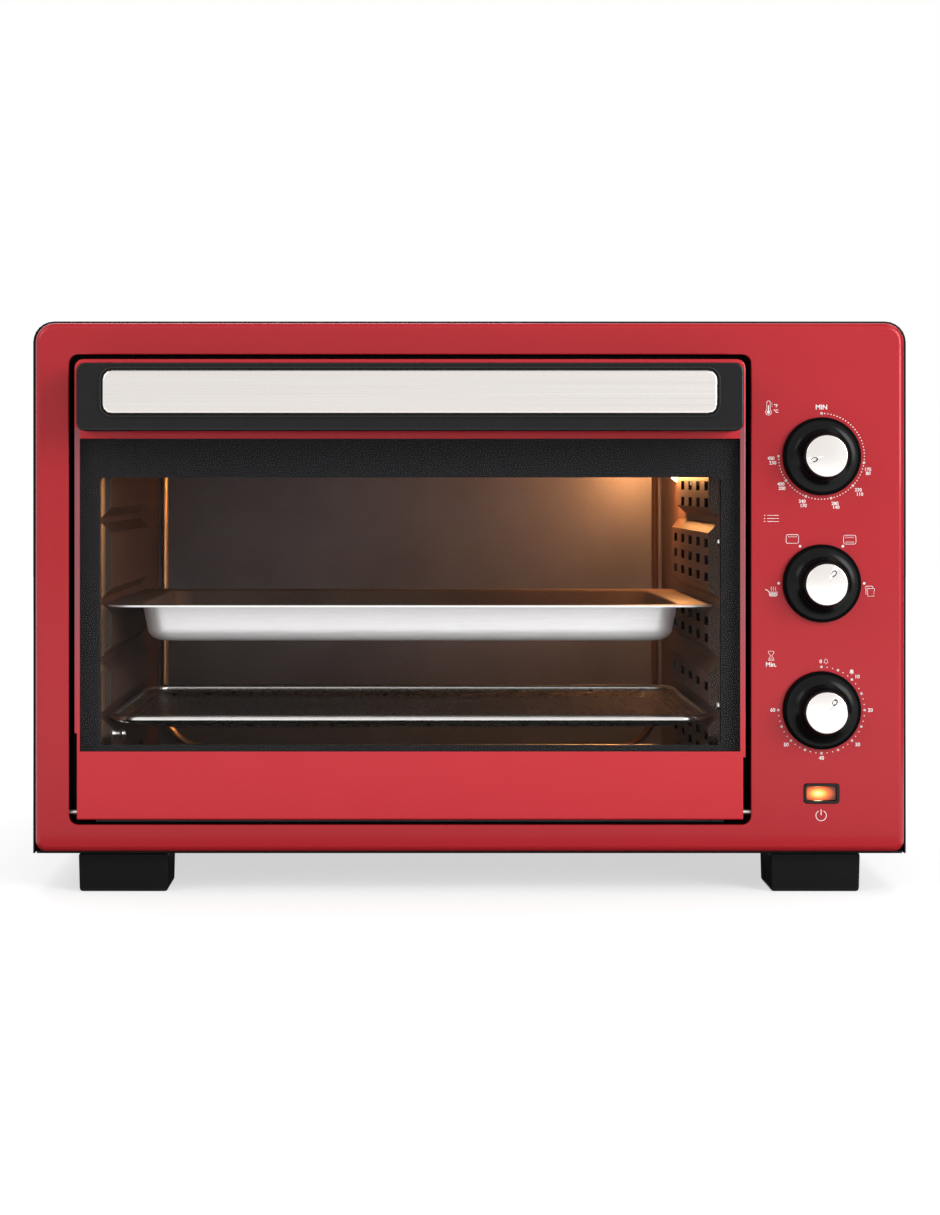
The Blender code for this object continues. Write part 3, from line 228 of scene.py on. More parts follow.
def closed(obj, angle=math.radians(35)):
    """Ends editing: merges doubles, turns the faces outwards and shades by angle."""
    bpy.ops.mesh.select_all(action="SELECT")
    bpy.ops.mesh.remove_doubles(threshold=0.002 * mm)
    bpy.ops.mesh.normals_make_consistent(inside=False)
    bpy.ops.object.mode_set(mode="OBJECT")
    bpy.ops.object.shade_smooth_by_angle(angle=angle)
    return obj


def select_faces(obj, test):
    """In edit mode, selects the faces that pass a test of their middle and normal."""
    bpy.ops.mesh.select_mode(type="FACE")
    shape = bmesh.from_edit_mesh(obj.data)
    for face in shape.faces:
        face.select_set(test(face.calc_center_median(), face.normal))
    bmesh.update_edit_mesh(obj.data)


def select_edges(obj, test):
    """In edit mode, selects the edges whose two ends pass a test of their place."""
    bpy.ops.mesh.select_mode(type="EDGE")
    shape = bmesh.from_edit_mesh(obj.data)
    for edge in shape.edges:
        edge.select_set(all(test(vert.co) for vert in edge.verts))
    bmesh.update_edit_mesh(obj.data)


def joined(name, objects):
    """Several pieces made one."""
    pick(*objects)
    if len(objects) > 1:
        bpy.ops.object.join()
    return settled(name)


def copied(obj, shift):
    """A copy with a mesh of its own, moved by a shift."""
    made = obj.copy()
    made.data = obj.data.copy()
    made.data.transform(Matrix.Translation(shift))
    bpy.context.scene.collection.objects.link(made)
    return made


def applied(obj, kind, **settings):
    """Adds a modifier with its settings and applies it."""
    pick(obj)
    modifier = obj.modifiers.new(kind.title(), kind)
    for key, value in settings.items():
        setattr(modifier, key, value)
    bpy.ops.object.modifier_apply(modifier=modifier.name)
    return obj


def arc(centre, radius, start, end, steps):
    """Points along an arc between two angles, both ends included."""
    turns = [start + (end - start) * k / steps for k in range(steps + 1)]
    return [(centre[0] + radius * math.cos(t), centre[1] + radius * math.sin(t)) for t in turns]


def chain(name, points, ring=False):
    """Edges through a list of places, drawn by extruding one vertex along them."""
    bpy.ops.mesh.primitive_plane_add(size=mm, location=points[0])
    obj = settled(name)
    editing(obj)
    bpy.ops.mesh.merge(type="CENTER")
    stops = [*points, points[0]] if ring else points
    for before, after in zip(stops, stops[1:]):
        step = Vector(after) - Vector(before)
        bpy.ops.mesh.extrude_region_move(TRANSFORM_OT_translate={"value": step})
    if ring:
        bpy.ops.mesh.select_all(action="SELECT")
        bpy.ops.mesh.remove_doubles(threshold=0.002 * mm)
    bpy.ops.object.mode_set(mode="OBJECT")
    return obj


def turned(name, profile, place, axis=(0, -1, 0), steps=None, angle=math.radians(35)):
    """A turned piece: (radius, height) points from its top down the outside, spun round an axis."""
    aim = Vector((0, 0, 1)).rotation_difference(Vector(axis)).to_matrix()
    places = [Vector(place) + aim @ Vector((radius, 0, height)) for radius, height in profile]
    obj = chain(name, places)
    editing(obj)
    count = steps or sizes().turning_steps
    bpy.ops.mesh.spin(steps=count, angle=2 * math.pi, center=place, axis=axis)
    return closed(obj, angle)


def wire(name, points, radius, ring=False, sides=2):
    """A round wire through places, its ends closed."""
    obj = chain(name, points, ring)
    pick(obj)
    bpy.ops.object.convert(target="CURVE")
    curve = bpy.context.object.data
    curve.bevel_depth = radius
    curve.bevel_resolution = sides
    curve.use_fill_caps = True
    bpy.ops.object.convert(target="MESH")
    made = settled(name)
    editing(made)
    return closed(made, math.radians(60))


def block(name, low, high, edge, segments=3):
    """A box between two corners with rounded edges."""
    size = Vector(high) - Vector(low)
    bpy.ops.mesh.primitive_cube_add(size=1, location=(Vector(low) + Vector(high)) / 2, scale=size)
    obj = settled(name)
    editing(obj)
    bpy.ops.mesh.bevel(offset=edge, segments=segments, affect="EDGES", clamp_overlap=True)
    return closed(obj)


def skin(node, edge=0, segments=2):
    """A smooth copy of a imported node, its loose triangles merged, that stands for it."""
    source = frame["nodes"][node]
    obj = bpy.data.objects.new(f"{node}_skin", source.data.copy())
    bpy.context.scene.collection.objects.link(obj)
    editing(obj)
    bpy.ops.mesh.remove_doubles(threshold=0.002 * mm)
    bpy.ops.mesh.dissolve_limited(angle_limit=math.radians(0.5))
    bpy.ops.object.mode_set(mode="OBJECT")
    if edge:
        applied(
            obj,
            "BEVEL",
            width=edge,
            segments=segments,
            limit_method="ANGLE",
            angle_limit=math.radians(35),
            harden_normals=False,
        )
    pick(obj)
    bpy.ops.object.shade_smooth_by_angle(angle=math.radians(35))
    applied(obj, "WEIGHTED_NORMAL", keep_sharp=True, weight=100)
    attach(obj, source["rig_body"])
    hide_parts(node)
    return obj


def dress(obj, material):
    """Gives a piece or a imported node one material."""
    obj.data.materials.clear()
    obj.data.materials.append(material)
    return obj


def dress_nodes(material, *nodes):
    for node in nodes:
        dress(frame["nodes"][node], material)


def placed(obj, body, material, slot, *nodes):
    """Dresses a new piece, lets it ride on a body and stand for nodes."""
    dress(obj, material)
    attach(obj, body)
    if nodes:
        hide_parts(*nodes)
    return obj


# Finishes


def finish(name, colour, metallic=0, roughness=0.5, **sockets):
    """A Principled material, its constant values set on its own sockets."""
    found = bpy.data.materials.get(name)
    if found:
        return found
    material = bpy.data.materials.new(name)
    material.use_nodes = True
    shader = material.node_tree.nodes["Principled BSDF"]
    values = {"Base Color": (*colour, 1), "Metallic": metallic, "Roughness": roughness}
    for socket, value in {**values, **sockets}.items():
        shader.inputs[socket.replace("_", " ")].default_value = value
    return material


def shader_of(material):
    return material.node_tree.nodes["Principled BSDF"]


def pattern(material, scale, stretch=(1, 1, 1), detail=3, kind="ShaderNodeTexNoise", centre=(0, 0, 0)):
    """A procedural pattern on Object coordinates, stretched and centred by a Mapping node."""
    nodes, links = material.node_tree.nodes, material.node_tree.links
    places = nodes.new("ShaderNodeTexCoord")
    mapping = nodes.new("ShaderNodeMapping")
    mapping.inputs["Location"].default_value = centre
    mapping.inputs["Scale"].default_value = stretch
    texture = nodes.new(kind)
    texture.inputs["Scale"].default_value = scale
    if kind == "ShaderNodeTexNoise":
        texture.inputs["Detail"].default_value = detail
    links.new(places.outputs["Object"], mapping.inputs["Vector"])
    links.new(mapping.outputs["Vector"], texture.inputs["Vector"])
    return texture.outputs["Fac" if kind == "ShaderNodeTexNoise" else "Distance"]


def rings(material, place, scale):
    """Fine turned lines round an axis along Y through a place."""
    nodes, links = material.node_tree.nodes, material.node_tree.links
    places = nodes.new("ShaderNodeTexCoord")
    mapping = nodes.new("ShaderNodeMapping")
    mapping.inputs["Location"].default_value = (-place.x, 0, -place.z)
    mapping.inputs["Scale"].default_value = (1, 0, 1)
    length = nodes.new("ShaderNodeVectorMath")
    length.operation = "LENGTH"
    texture = nodes.new("ShaderNodeTexNoise")
    texture.noise_dimensions = "1D"
    texture.inputs["Scale"].default_value = scale
    links.new(places.outputs["Object"], mapping.inputs["Vector"])
    links.new(mapping.outputs["Vector"], length.inputs[0])
    links.new(length.outputs["Value"], texture.inputs["W"])
    return texture.outputs["Fac"]


def ranged(material, source, low, high, start=0.3, end=0.7):
    """A pattern's value spread between two numbers."""
    spread = material.node_tree.nodes.new("ShaderNodeMapRange")
    spread.inputs["From Min"].default_value = start
    spread.inputs["From Max"].default_value = end
    spread.inputs["To Min"].default_value = low
    spread.inputs["To Max"].default_value = high
    material.node_tree.links.new(source, spread.inputs["Value"])
    return spread.outputs["Result"]


def vary_roughness(material, source, low, high, start=0.3, end=0.7):
    value = ranged(material, source, low, high, start, end)
    material.node_tree.links.new(value, shader_of(material).inputs["Roughness"])


def vary_colour(material, source, first, second, start=0.3, end=0.7):
    """Lets a pattern run the base colour from one colour to another."""
    mix = material.node_tree.nodes.new("ShaderNodeMix")
    mix.data_type = "RGBA"
    mix.inputs["A"].default_value = (*first, 1)
    mix.inputs["B"].default_value = (*second, 1)
    links = material.node_tree.links
    links.new(ranged(material, source, 0, 1, start, end), mix.inputs["Factor"])
    links.new(mix.outputs["Result"], shader_of(material).inputs["Base Color"])


def raise_surface(material, source, depth, strength=1):
    """Turns a pattern into a bump of a real depth."""
    bump = material.node_tree.nodes.new("ShaderNodeBump")
    bump.inputs["Distance"].default_value = depth
    bump.inputs["Strength"].default_value = strength
    links = material.node_tree.links
    links.new(source, bump.inputs["Height"])
    links.new(bump.outputs["Normal"], shader_of(material).inputs["Normal"])


def shade(colour, factor):
    return tuple(min(1, channel * factor) for channel in colour)


def enamel(name="red_enamel_gloss", tone=1):
    """Glossy red enamel with fine flakes and a faint orange peel."""
    colour = shade(colours().enamel, tone)
    if name in bpy.data.materials:
        return bpy.data.materials[name]
    material = finish(
        name,
        colour,
        0.15,
        0.32,
        Specular_IOR_Level=0.14,
        Coat_Weight=0.28,
        Coat_Roughness=0.07,
    )
    flakes = pattern(material, 2600, kind="ShaderNodeTexVoronoi")
    vary_colour(material, flakes, shade(colour, 0.94), shade(colour, 1.08), 0.1, 0.6)
    vary_roughness(material, pattern(material, 40), 0.28, 0.36)
    raise_surface(material, pattern(material, 420, detail=1), 0.006 * mm)
    return material


def door_enamel_with_painted_rim_sheen():
    """The door's enamel, with a painted highlight that makes it paler and greyer on the narrow rims beside the glass,
    fading out towards the bottom.
    """
    material = enamel("door_enamel_gloss", 1.3)
    nodes, links = material.node_tree.nodes, material.node_tree.links
    base = shader_of(material).inputs["Base Color"]
    plain = base.links[0].from_socket
    places = nodes.new("ShaderNodeTexCoord")
    parts = nodes.new("ShaderNodeSeparateXYZ")
    links.new(places.outputs["Object"], parts.inputs["Vector"])
    offset = nodes.new("ShaderNodeMath")
    offset.operation = "SUBTRACT"
    offset.inputs[1].default_value = door_x
    links.new(parts.outputs["X"], offset.inputs[0])
    away = nodes.new("ShaderNodeMath")
    away.operation = "ABSOLUTE"
    links.new(offset.outputs["Value"], away.inputs[0])
    edge = (glass_high.x - glass_low.x) / 2
    beside = ranged(material, away.outputs["Value"], 0, 1, edge - mm, edge - 0.4 * mm)
    height = ranged(material, parts.outputs["Z"], 0, 1, glass_low.z - 2 * mm, glass_low.z + 90 * mm)
    below = ranged(material, parts.outputs["Z"], 1, 0, glass_high.z - mm, glass_high.z + mm)
    lower = nodes.new("ShaderNodeMath")
    lower.operation = "MULTIPLY"
    links.new(below, lower.inputs[0])
    links.new(height, lower.inputs[1])
    painted_highlight_mask = nodes.new("ShaderNodeMath")
    painted_highlight_mask.operation = "MULTIPLY"
    links.new(beside, painted_highlight_mask.inputs[0])
    links.new(lower.outputs["Value"], painted_highlight_mask.inputs[1])
    mix = nodes.new("ShaderNodeMix")
    mix.data_type = "RGBA"
    links.new(painted_highlight_mask.outputs["Value"], mix.inputs["Factor"])
    links.new(plain, mix.inputs[6])
    # Grey-pink of the rims: a painted highlight of light on their rounded edges, not a colour of the enamel.
    mix.inputs[7].default_value = (0.31, 0.08, 0.095, 1)
    links.new(mix.outputs[2], base)
    return material


def black_paint():
    """Satin black paint with the fine grain of powder coating."""
    name = "black_paint_satin"
    if name in bpy.data.materials:
        return bpy.data.materials[name]
    colour = tuple(colours().paint)
    material = finish(name, colour, 0, 0.55, Specular_IOR_Level=0.14)
    grain = pattern(material, 700, detail=4)
    vary_roughness(material, pattern(material, 300), 0.53, 0.58)
    vary_colour(material, grain, shade(colour, 0.85), shade(colour, 1.2))
    raise_surface(material, grain, 0.008 * mm)
    return material


def black_plastic(name="black_plastic_moulded", gloss=0.42, shine=0.2, tone=1):
    """Moulded black plastic with a fine spark-eroded grain."""
    if name in bpy.data.materials:
        return bpy.data.materials[name]
    colour = shade(colours().plastic, tone)
    material = finish(name, colour, 0, gloss, Specular_IOR_Level=shine)
    grain = pattern(material, 2400, detail=3)
    vary_roughness(material, pattern(material, 90), gloss - 0.05, gloss + 0.06)
    vary_colour(material, grain, shade(colour, 0.85), shade(colour, 1.3))
    raise_surface(material, grain, 0.008 * mm)
    return material


def brushed(name, colour, stretch, roughness=0.3, depth=0.0008 * mm):
    """Steel brushed along the direction that the pattern is stretched in."""
    if name in bpy.data.materials:
        return bpy.data.materials[name]
    material = finish(name, colour, 1, roughness)
    lines = pattern(material, 1, stretch, detail=5)
    vary_roughness(material, lines, roughness - 0.03, roughness + 0.05)
    vary_colour(material, lines, shade(colour, 0.97), shade(colour, 1.03))
    raise_surface(material, lines, depth)
    return material


def bare_steel(name="bare_steel_rolled", colour=(0.6, 0.58, 0.56), roughness=0.34):
    """Rolled or drawn steel with faint mottling."""
    if name in bpy.data.materials:
        return bpy.data.materials[name]
    material = finish(name, colour, 1, roughness)
    mottle = pattern(material, 90, detail=3)
    vary_roughness(material, mottle, roughness - 0.03, roughness + 0.05)
    vary_colour(material, mottle, shade(colour, 0.96), shade(colour, 1.03))
    raise_surface(material, pattern(material, 1800), 0.003 * mm)
    return material


def pan_satin():
    """The pan's satin-white outside, drawn from aluminium-coated sheet."""
    name = "pan_satin"
    if name in bpy.data.materials:
        return bpy.data.materials[name]
    colour = (0.93, 0.92, 0.92)
    material = finish(name, colour, 0.4, 0.4)
    drawn = pattern(material, 1, (60, 60, 700), detail=3)
    vary_colour(material, drawn, shade(colour, 0.95), shade(colour, 1.02))
    vary_roughness(material, drawn, 0.36, 0.46)
    raise_surface(material, pattern(material, 700), 0.003 * mm)
    return material


def steel_mesh():
    """Fine woven steel: dark wires with bright backs, and holes that show what is behind."""
    name = "steel_mesh"
    if name in bpy.data.materials:
        return bpy.data.materials[name]
    material = finish(name, (0.3, 0.28, 0.26), 1, 0.3)
    cells = pattern(material, 780, kind="ShaderNodeTexVoronoi")
    cells.node.feature = "DISTANCE_TO_EDGE"
    cells.node.inputs["Randomness"].default_value = 0.12
    wires = ranged(material, cells, 1, 0.3, 0.12, 0.2)
    material.node_tree.links.new(wires, shader_of(material).inputs["Alpha"])
    vary_roughness(material, pattern(material, 200), 0.24, 0.36)
    vary_colour(material, pattern(material, 300), (0.2, 0.18, 0.16), (0.42, 0.39, 0.36))
    raise_surface(material, cells, 0.15 * mm)
    return material


def cavity_coating(name="cavity_coating", colour=None, metallic=0.3, roughness=0.38, mottle=0.15):
    """Dark non-stick coating, browned a little by use, over pressed steel; a colour given by the caller can carry
    painted lamp light or shade.
    """
    if name in bpy.data.materials:
        return bpy.data.materials[name]
    colour = colour or tuple(colours().coating)
    material = finish(name, colour, metallic, roughness, Specular_IOR_Level=0.15)
    browning = pattern(material, 14, detail=4)
    vary_colour(material, browning, shade(colour, 1 - mottle), shade(colour, 1 + mottle))
    spread = mottle * roughness / 2
    vary_roughness(material, pattern(material, 70), roughness - spread, roughness + spread)
    raise_surface(material, pattern(material, 90, detail=2), 0.003 * mm)
    return material


def slope_painted_shade_and_glint():
    """The side walls' front slopes: dark as painted shade, with a painted orange glint of the lamp along their outer
    edge, most at the top.
    """
    name = "side_wall_edge"
    if name in bpy.data.materials:
        return bpy.data.materials[name]
    # The dark colour is painted shade on the front-facing slopes; the orange one is a painted reflection of the lamp.
    dark, painted_lamp_glint = (0.03, 0.019, 0.014), (0.8, 0.36, 0.12)
    material = finish(name, dark, 0.85, 0.22)
    nodes, links = material.node_tree.nodes, material.node_tree.links
    places = nodes.new("ShaderNodeTexCoord")
    parts = nodes.new("ShaderNodeSeparateXYZ")
    links.new(places.outputs["Object"], parts.inputs["Vector"])
    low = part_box("cavity_left_wall")[0]
    edge = ranged(material, parts.outputs["X"], 1, 0, low.x + 1.2 * mm, low.x + 3.4 * mm)
    height = ranged(material, parts.outputs["Z"], 0.05, 1, 150 * mm, 290 * mm)
    painted_highlight_mask = nodes.new("ShaderNodeMath")
    painted_highlight_mask.operation = "MULTIPLY"
    links.new(edge, painted_highlight_mask.inputs[0])
    links.new(height, painted_highlight_mask.inputs[1])
    vary_colour(material, painted_highlight_mask.outputs["Value"], dark, painted_lamp_glint, 0, 1)
    vary_roughness(material, pattern(material, 120), 0.18, 0.28)
    raise_surface(material, pattern(material, 90, detail=2), 0.003 * mm)
    return material


def clear_glass():
    """Clear glass: it lets light straight through, and reflects more the flatter it is seen."""
    name = "door_pane_glass"
    if name in bpy.data.materials:
        return bpy.data.materials[name]
    material = finish(name, (0.96, 0.98, 0.98), 1, 0.02)
    vary_roughness(material, pattern(material, 30, (1, 1, 3)), 0.01, 0.05)
    nodes, links = material.node_tree.nodes, material.node_tree.links
    slant = nodes.new("ShaderNodeLayerWeight")
    steep = nodes.new("ShaderNodeMath")
    steep.operation = "POWER"
    steep.inputs[1].default_value = 4
    links.new(slant.outputs["Facing"], steep.inputs[0])
    side = nodes.new("ShaderNodeNewGeometry")
    outer = nodes.new("ShaderNodeMath")
    outer.operation = "SUBTRACT"
    outer.inputs[0].default_value = 1
    links.new(side.outputs["Backfacing"], outer.inputs[1])
    front = nodes.new("ShaderNodeMath")
    front.operation = "MULTIPLY"
    links.new(ranged(material, steep.outputs["Value"], 0.004, 0.45, 0, 1), front.inputs[0])
    links.new(outer.outputs["Value"], front.inputs[1])
    links.new(front.outputs["Value"], shader_of(material).inputs["Alpha"])
    return material


def glass_print():
    """The dark ceramic print fired on to the glass round its window."""
    name = "glass_print"
    if name in bpy.data.materials:
        return bpy.data.materials[name]
    colour = tuple(colours().border)
    material = finish(name, colour, 0, 0.5, Specular_IOR_Level=0)
    vary_colour(material, pattern(material, 250), shade(colour, 0.93), shade(colour, 1.07))
    vary_roughness(material, pattern(material, 50), 0.46, 0.56)
    return material


def dial_ink():
    """The off-white ink of the dials, a little uneven where it was printed."""
    name = "dial_ink"
    if name in bpy.data.materials:
        return bpy.data.materials[name]
    colour = tuple(colours().ink)
    material = finish(name, colour, 0, 0.5)
    vary_colour(material, pattern(material, 1500), shade(colour, 0.94), shade(colour, 1.05))
    vary_roughness(material, pattern(material, 400), 0.45, 0.6)
    return material


def ceramic():
    """Unglazed off-white ceramic with fine pores."""
    name = "ceramic_unglazed"
    if name in bpy.data.materials:
        return bpy.data.materials[name]
    colour = (0.74, 0.71, 0.65)
    material = finish(name, colour, 0, 0.7)
    pores = pattern(material, 1900, detail=4)
    vary_colour(material, pores, shade(colour, 0.86), shade(colour, 1.05))
    vary_roughness(material, pores, 0.62, 0.8)
    raise_surface(material, pores, 0.02 * mm)
    return material


def dark_metal(name="heater_sheath", colour=(0.16, 0.14, 0.13)):
    """The heaters' steel sheath, blued and browned by its own heat."""
    if name in bpy.data.materials:
        return bpy.data.materials[name]
    material = finish(name, colour, 1, 0.42)
    tint = pattern(material, 1, (18, 60, 60), detail=4)
    vary_colour(material, tint, (0.1, 0.09, 0.1), (0.26, 0.2, 0.16))
    vary_roughness(material, tint, 0.34, 0.52)
    raise_surface(material, pattern(material, 1500), 0.004 * mm)
    return material


def lamp_glass():
    """The lamp's frosted glass, lit from behind, its tone varying a little at random."""
    name = "lamp_glass_lit"
    if name in bpy.data.materials:
        return bpy.data.materials[name]
    material = finish(
        name,
        (1, 0.93, 0.8),
        0,
        0.35,
        Emission_Color=(1, 0.78, 0.45, 1),
        Emission_Strength=9,
    )
    vary_roughness(material, pattern(material, 300), 0.25, 0.45)
    vary_colour(material, pattern(material, 500), (1, 0.9, 0.74), (1, 0.96, 0.88))
    return material


def knob_cap_steel(dial):
    """Turned steel with fine rings round the knob's axis."""
    name = f"{dial}_cap_steel"
    if name in bpy.data.materials:
        return bpy.data.materials[name]
    colour = tuple(colours().steel)
    material = finish(name, colour, 1, 0.2)
    lines = rings(material, dials[dial], 3500)
    vary_roughness(material, lines, 0.14, 0.26)
    raise_surface(material, lines, 0.003 * mm)
    return material


def lens_amber():
    """The indicator's ribbed amber lens, lit from its left half."""
    name = "lens_amber_lit"
    if name in bpy.data.materials:
        return bpy.data.materials[name]
    material = finish(name, (0.03, 0.006, 0.004), 0, 0.12, Specular_IOR_Level=0.4)
    low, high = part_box("indicator_lens")
    centre = (-(low.x + 0.4 * (high.x - low.x)), 0, -(low.z + high.z) / 2)
    nodes, links = material.node_tree.nodes, material.node_tree.links
    places = nodes.new("ShaderNodeTexCoord")
    shift = nodes.new("ShaderNodeMapping")
    shift.inputs["Location"].default_value = centre
    shift.inputs["Scale"].default_value = (1, 0, 1)
    squash = nodes.new("ShaderNodeMapping")
    squash.inputs["Scale"].default_value = (88, 0, 160)
    length = nodes.new("ShaderNodeVectorMath")
    length.operation = "LENGTH"
    ramp = nodes.new("ShaderNodeValToRGB")
    stops = ramp.color_ramp.elements
    stops[0].position, stops[0].color = 0, (1, 0.86, 0.5, 1)
    stops[1].position, stops[1].color = 1, (0.02, 0.002, 0.001, 1)
    for position, colour in ((0.2, (1, 0.6, 0.12, 1)), (0.5, (0.75, 0.13, 0.02, 1)), (0.8, (0.12, 0.02, 0.008, 1))):
        stop = stops.new(position)
        stop.color = colour
    links.new(places.outputs["Object"], shift.inputs["Vector"])
    links.new(shift.outputs["Vector"], squash.inputs["Vector"])
    links.new(squash.outputs["Vector"], length.inputs[0])
    links.new(length.outputs["Value"], ramp.inputs["Fac"])
    shader = shader_of(material)
    links.new(ramp.outputs["Color"], shader.inputs["Emission Color"])
    shader.inputs["Emission Strength"].default_value = 1.5
    raise_surface(material, pattern(material, 500, (1, 1, 0.2)), 0.05 * mm)
    return material


# Stage


def area_light(name, place, aim, size, power, colour=(1, 1, 1)):
    bpy.ops.object.light_add(type="AREA", location=place)
    light = bpy.context.object
    light.name = name
    light.data.shape = "RECTANGLE"
    light.data.size, light.data.size_y = size
    light.data.energy = power
    light.data.color = colour
    light.rotation_euler = (Vector(aim) - Vector(place)).to_track_quat("-Z", "Y").to_euler()
    return light


def seen_rays(nodes, links):
    """1 for camera, glossy and transmission rays, and 0 for the rays that only light."""
    path = nodes.new("ShaderNodeLightPath")
    seen = nodes.new("ShaderNodeMath")
    seen.operation = "MAXIMUM"
    through = nodes.new("ShaderNodeMath")
    through.operation = "MAXIMUM"
    links.new(path.outputs["Is Camera Ray"], seen.inputs[0])
    links.new(path.outputs["Is Glossy Ray"], seen.inputs[1])
    links.new(seen.outputs["Value"], through.inputs[0])
    links.new(path.outputs["Is Transmission Ray"], through.inputs[1])
    return through.outputs["Value"]


def flag(name, centre, span, turn, axis):
    """A black card that only reflections see, to draw dark lines along the glossy edges."""
    bpy.ops.mesh.primitive_plane_add(size=1, location=(0, 0, 0))
    card = settled(name)
    card.data.transform(Matrix.Diagonal((*span, 1, 1)))
    card.data.transform(Matrix.Rotation(math.radians(turn), 4, axis))
    card.data.transform(Matrix.Translation(centre))
    card.visible_camera = card.visible_diffuse = card.visible_shadow = False
    card.visible_transmission = card.visible_volume_scatter = False
    dress(card, black_paint())


def studio_floor():
    """A pale floor that keeps a soft shadow near the part and runs out to plain white."""
    material = finish("studio_floor", (0.45, 0.45, 0.45), 0, 0.8, Specular_IOR_Level=0)
    nodes, links = material.node_tree.nodes, material.node_tree.links
    vary_roughness(material, pattern(material, 20), 0.75, 0.85)
    places = nodes.new("ShaderNodeTexCoord")
    length = nodes.new("ShaderNodeVectorMath")
    length.operation = "LENGTH"
    links.new(places.outputs["Object"], length.inputs[0])
    white = ranged(material, length.outputs["Value"], 0.62, 1, 0.35, 0.8)
    glow = nodes.new("ShaderNodeMath")
    glow.operation = "MULTIPLY"
    links.new(white, glow.inputs[0])
    links.new(seen_rays(nodes, links), glow.inputs[1])
    shader = shader_of(material)
    shader.inputs["Emission Color"].default_value = (1, 1, 1, 1)
    links.new(glow.outputs["Value"], shader.inputs["Emission Strength"])
    return material


def seen_background(strength_elsewhere):
    """A white world for the camera and for glossy and glass rays, softer where it lights."""
    world = bpy.data.worlds.new("studio")
    bpy.context.scene.world = world
    world.use_nodes = True
    nodes, links = world.node_tree.nodes, world.node_tree.links
    shader = nodes["Background"]
    shader.inputs["Color"].default_value = (1, 1, 1, 1)
    strength = nodes.new("ShaderNodeMapRange")
    strength.inputs["To Min"].default_value = strength_elsewhere
    strength.inputs["To Max"].default_value = 1
    links.new(seen_rays(nodes, links), strength.inputs["Value"])
    links.new(strength.outputs["Result"], shader.inputs["Strength"])


class OVEN_OT_stage(bpy.types.Operator):
    """Lay the floor, hang the lights and place the camera"""

    bl_idname = "oven.stage"
    bl_label = "Stage"

    view_distance = 1252 * mm
    focal_length = 66.65
    frame_pixels = (940, 1215)
    vanishing_pixel = (410, 481)

    def execute(self, context):
        centre = (panel_low + panel_high) / 2
        bpy.ops.mesh.primitive_plane_add(size=1, location=(0, 0, 0), scale=(1, 1, 1))
        floor = settled("floor")
        floor.data.transform(Matrix.Scale(8, 4))
        dress(floor, studio_floor())
        seen_background(0.7)
        area_light("key", (1.3, -1.3, 0.7), centre, (0.8, 1.0), 22)
        area_light("fill", (-1.9, -1.7, 1.5), centre, (1.4, 1.2), 14)
        area_light("top", (0.1, 0.4, 2.2), centre, (1.8, 1.4), 16)
        area_light("back", (-0.6, 2.2, 1.2), centre, (1.6, 1.2), 14)
        flag("flag_right", (0.75, -0.05, 0.35), (0.9, 0.9), 90, "Y")
        flag("flag_above", (0, -0.05, 0.95), (1, 0.8), 0, "Z")
        flag("flag_below", (0, -0.1, 0.002), (0.6, 0.5), 0, "Z")
        long_side = max(self.frame_pixels)
        bpy.ops.object.camera_add(
            location=(door_x, front_y - self.view_distance, 230.4 * mm),
            rotation=(math.pi / 2, 0, 0),
        )
        camera = context.object
        camera.data.lens = self.focal_length
        camera.data.sensor_width = 36
        camera.data.shift_x = (self.frame_pixels[0] / 2 - self.vanishing_pixel[0]) / long_side
        camera.data.shift_y = (self.vanishing_pixel[1] - self.frame_pixels[1] / 2) / long_side
        camera.data.clip_end = 50
        context.scene.camera = camera
        context.scene.view_settings.view_transform = "Standard"
        return {"FINISHED"}


class OVEN_OT_casing(bpy.types.Operator):
    """Finish the red front, the painted cover, the feet and their screws"""

    bl_idname = "oven.casing"
    bl_label = "Casing"

    def execute(self, context):
        dress(skin("front_panel", 0.3 * mm), enamel())
        dress(skin("door_frame", 0.4 * mm, 3), door_enamel_with_painted_rim_sheen())
        for node in ("outer_cover", "front_frame", "door_inner_frame"):
            dress(skin(node), black_paint())
        dress_nodes(black_paint(), "base_plate", "rear_panel")
        for row in ("front", "rear"):
            for side in ("left", "right"):
                dress(skin(f"foot_{row}_{side}", 0.4 * mm), black_plastic("foot_plastic", 0.45, 0.1, 0.9))
                dress_nodes(bare_steel(), f"foot_screw_{row}_{side}")
        dress(skin("cord_gland"), black_plastic())
        return {"FINISHED"}


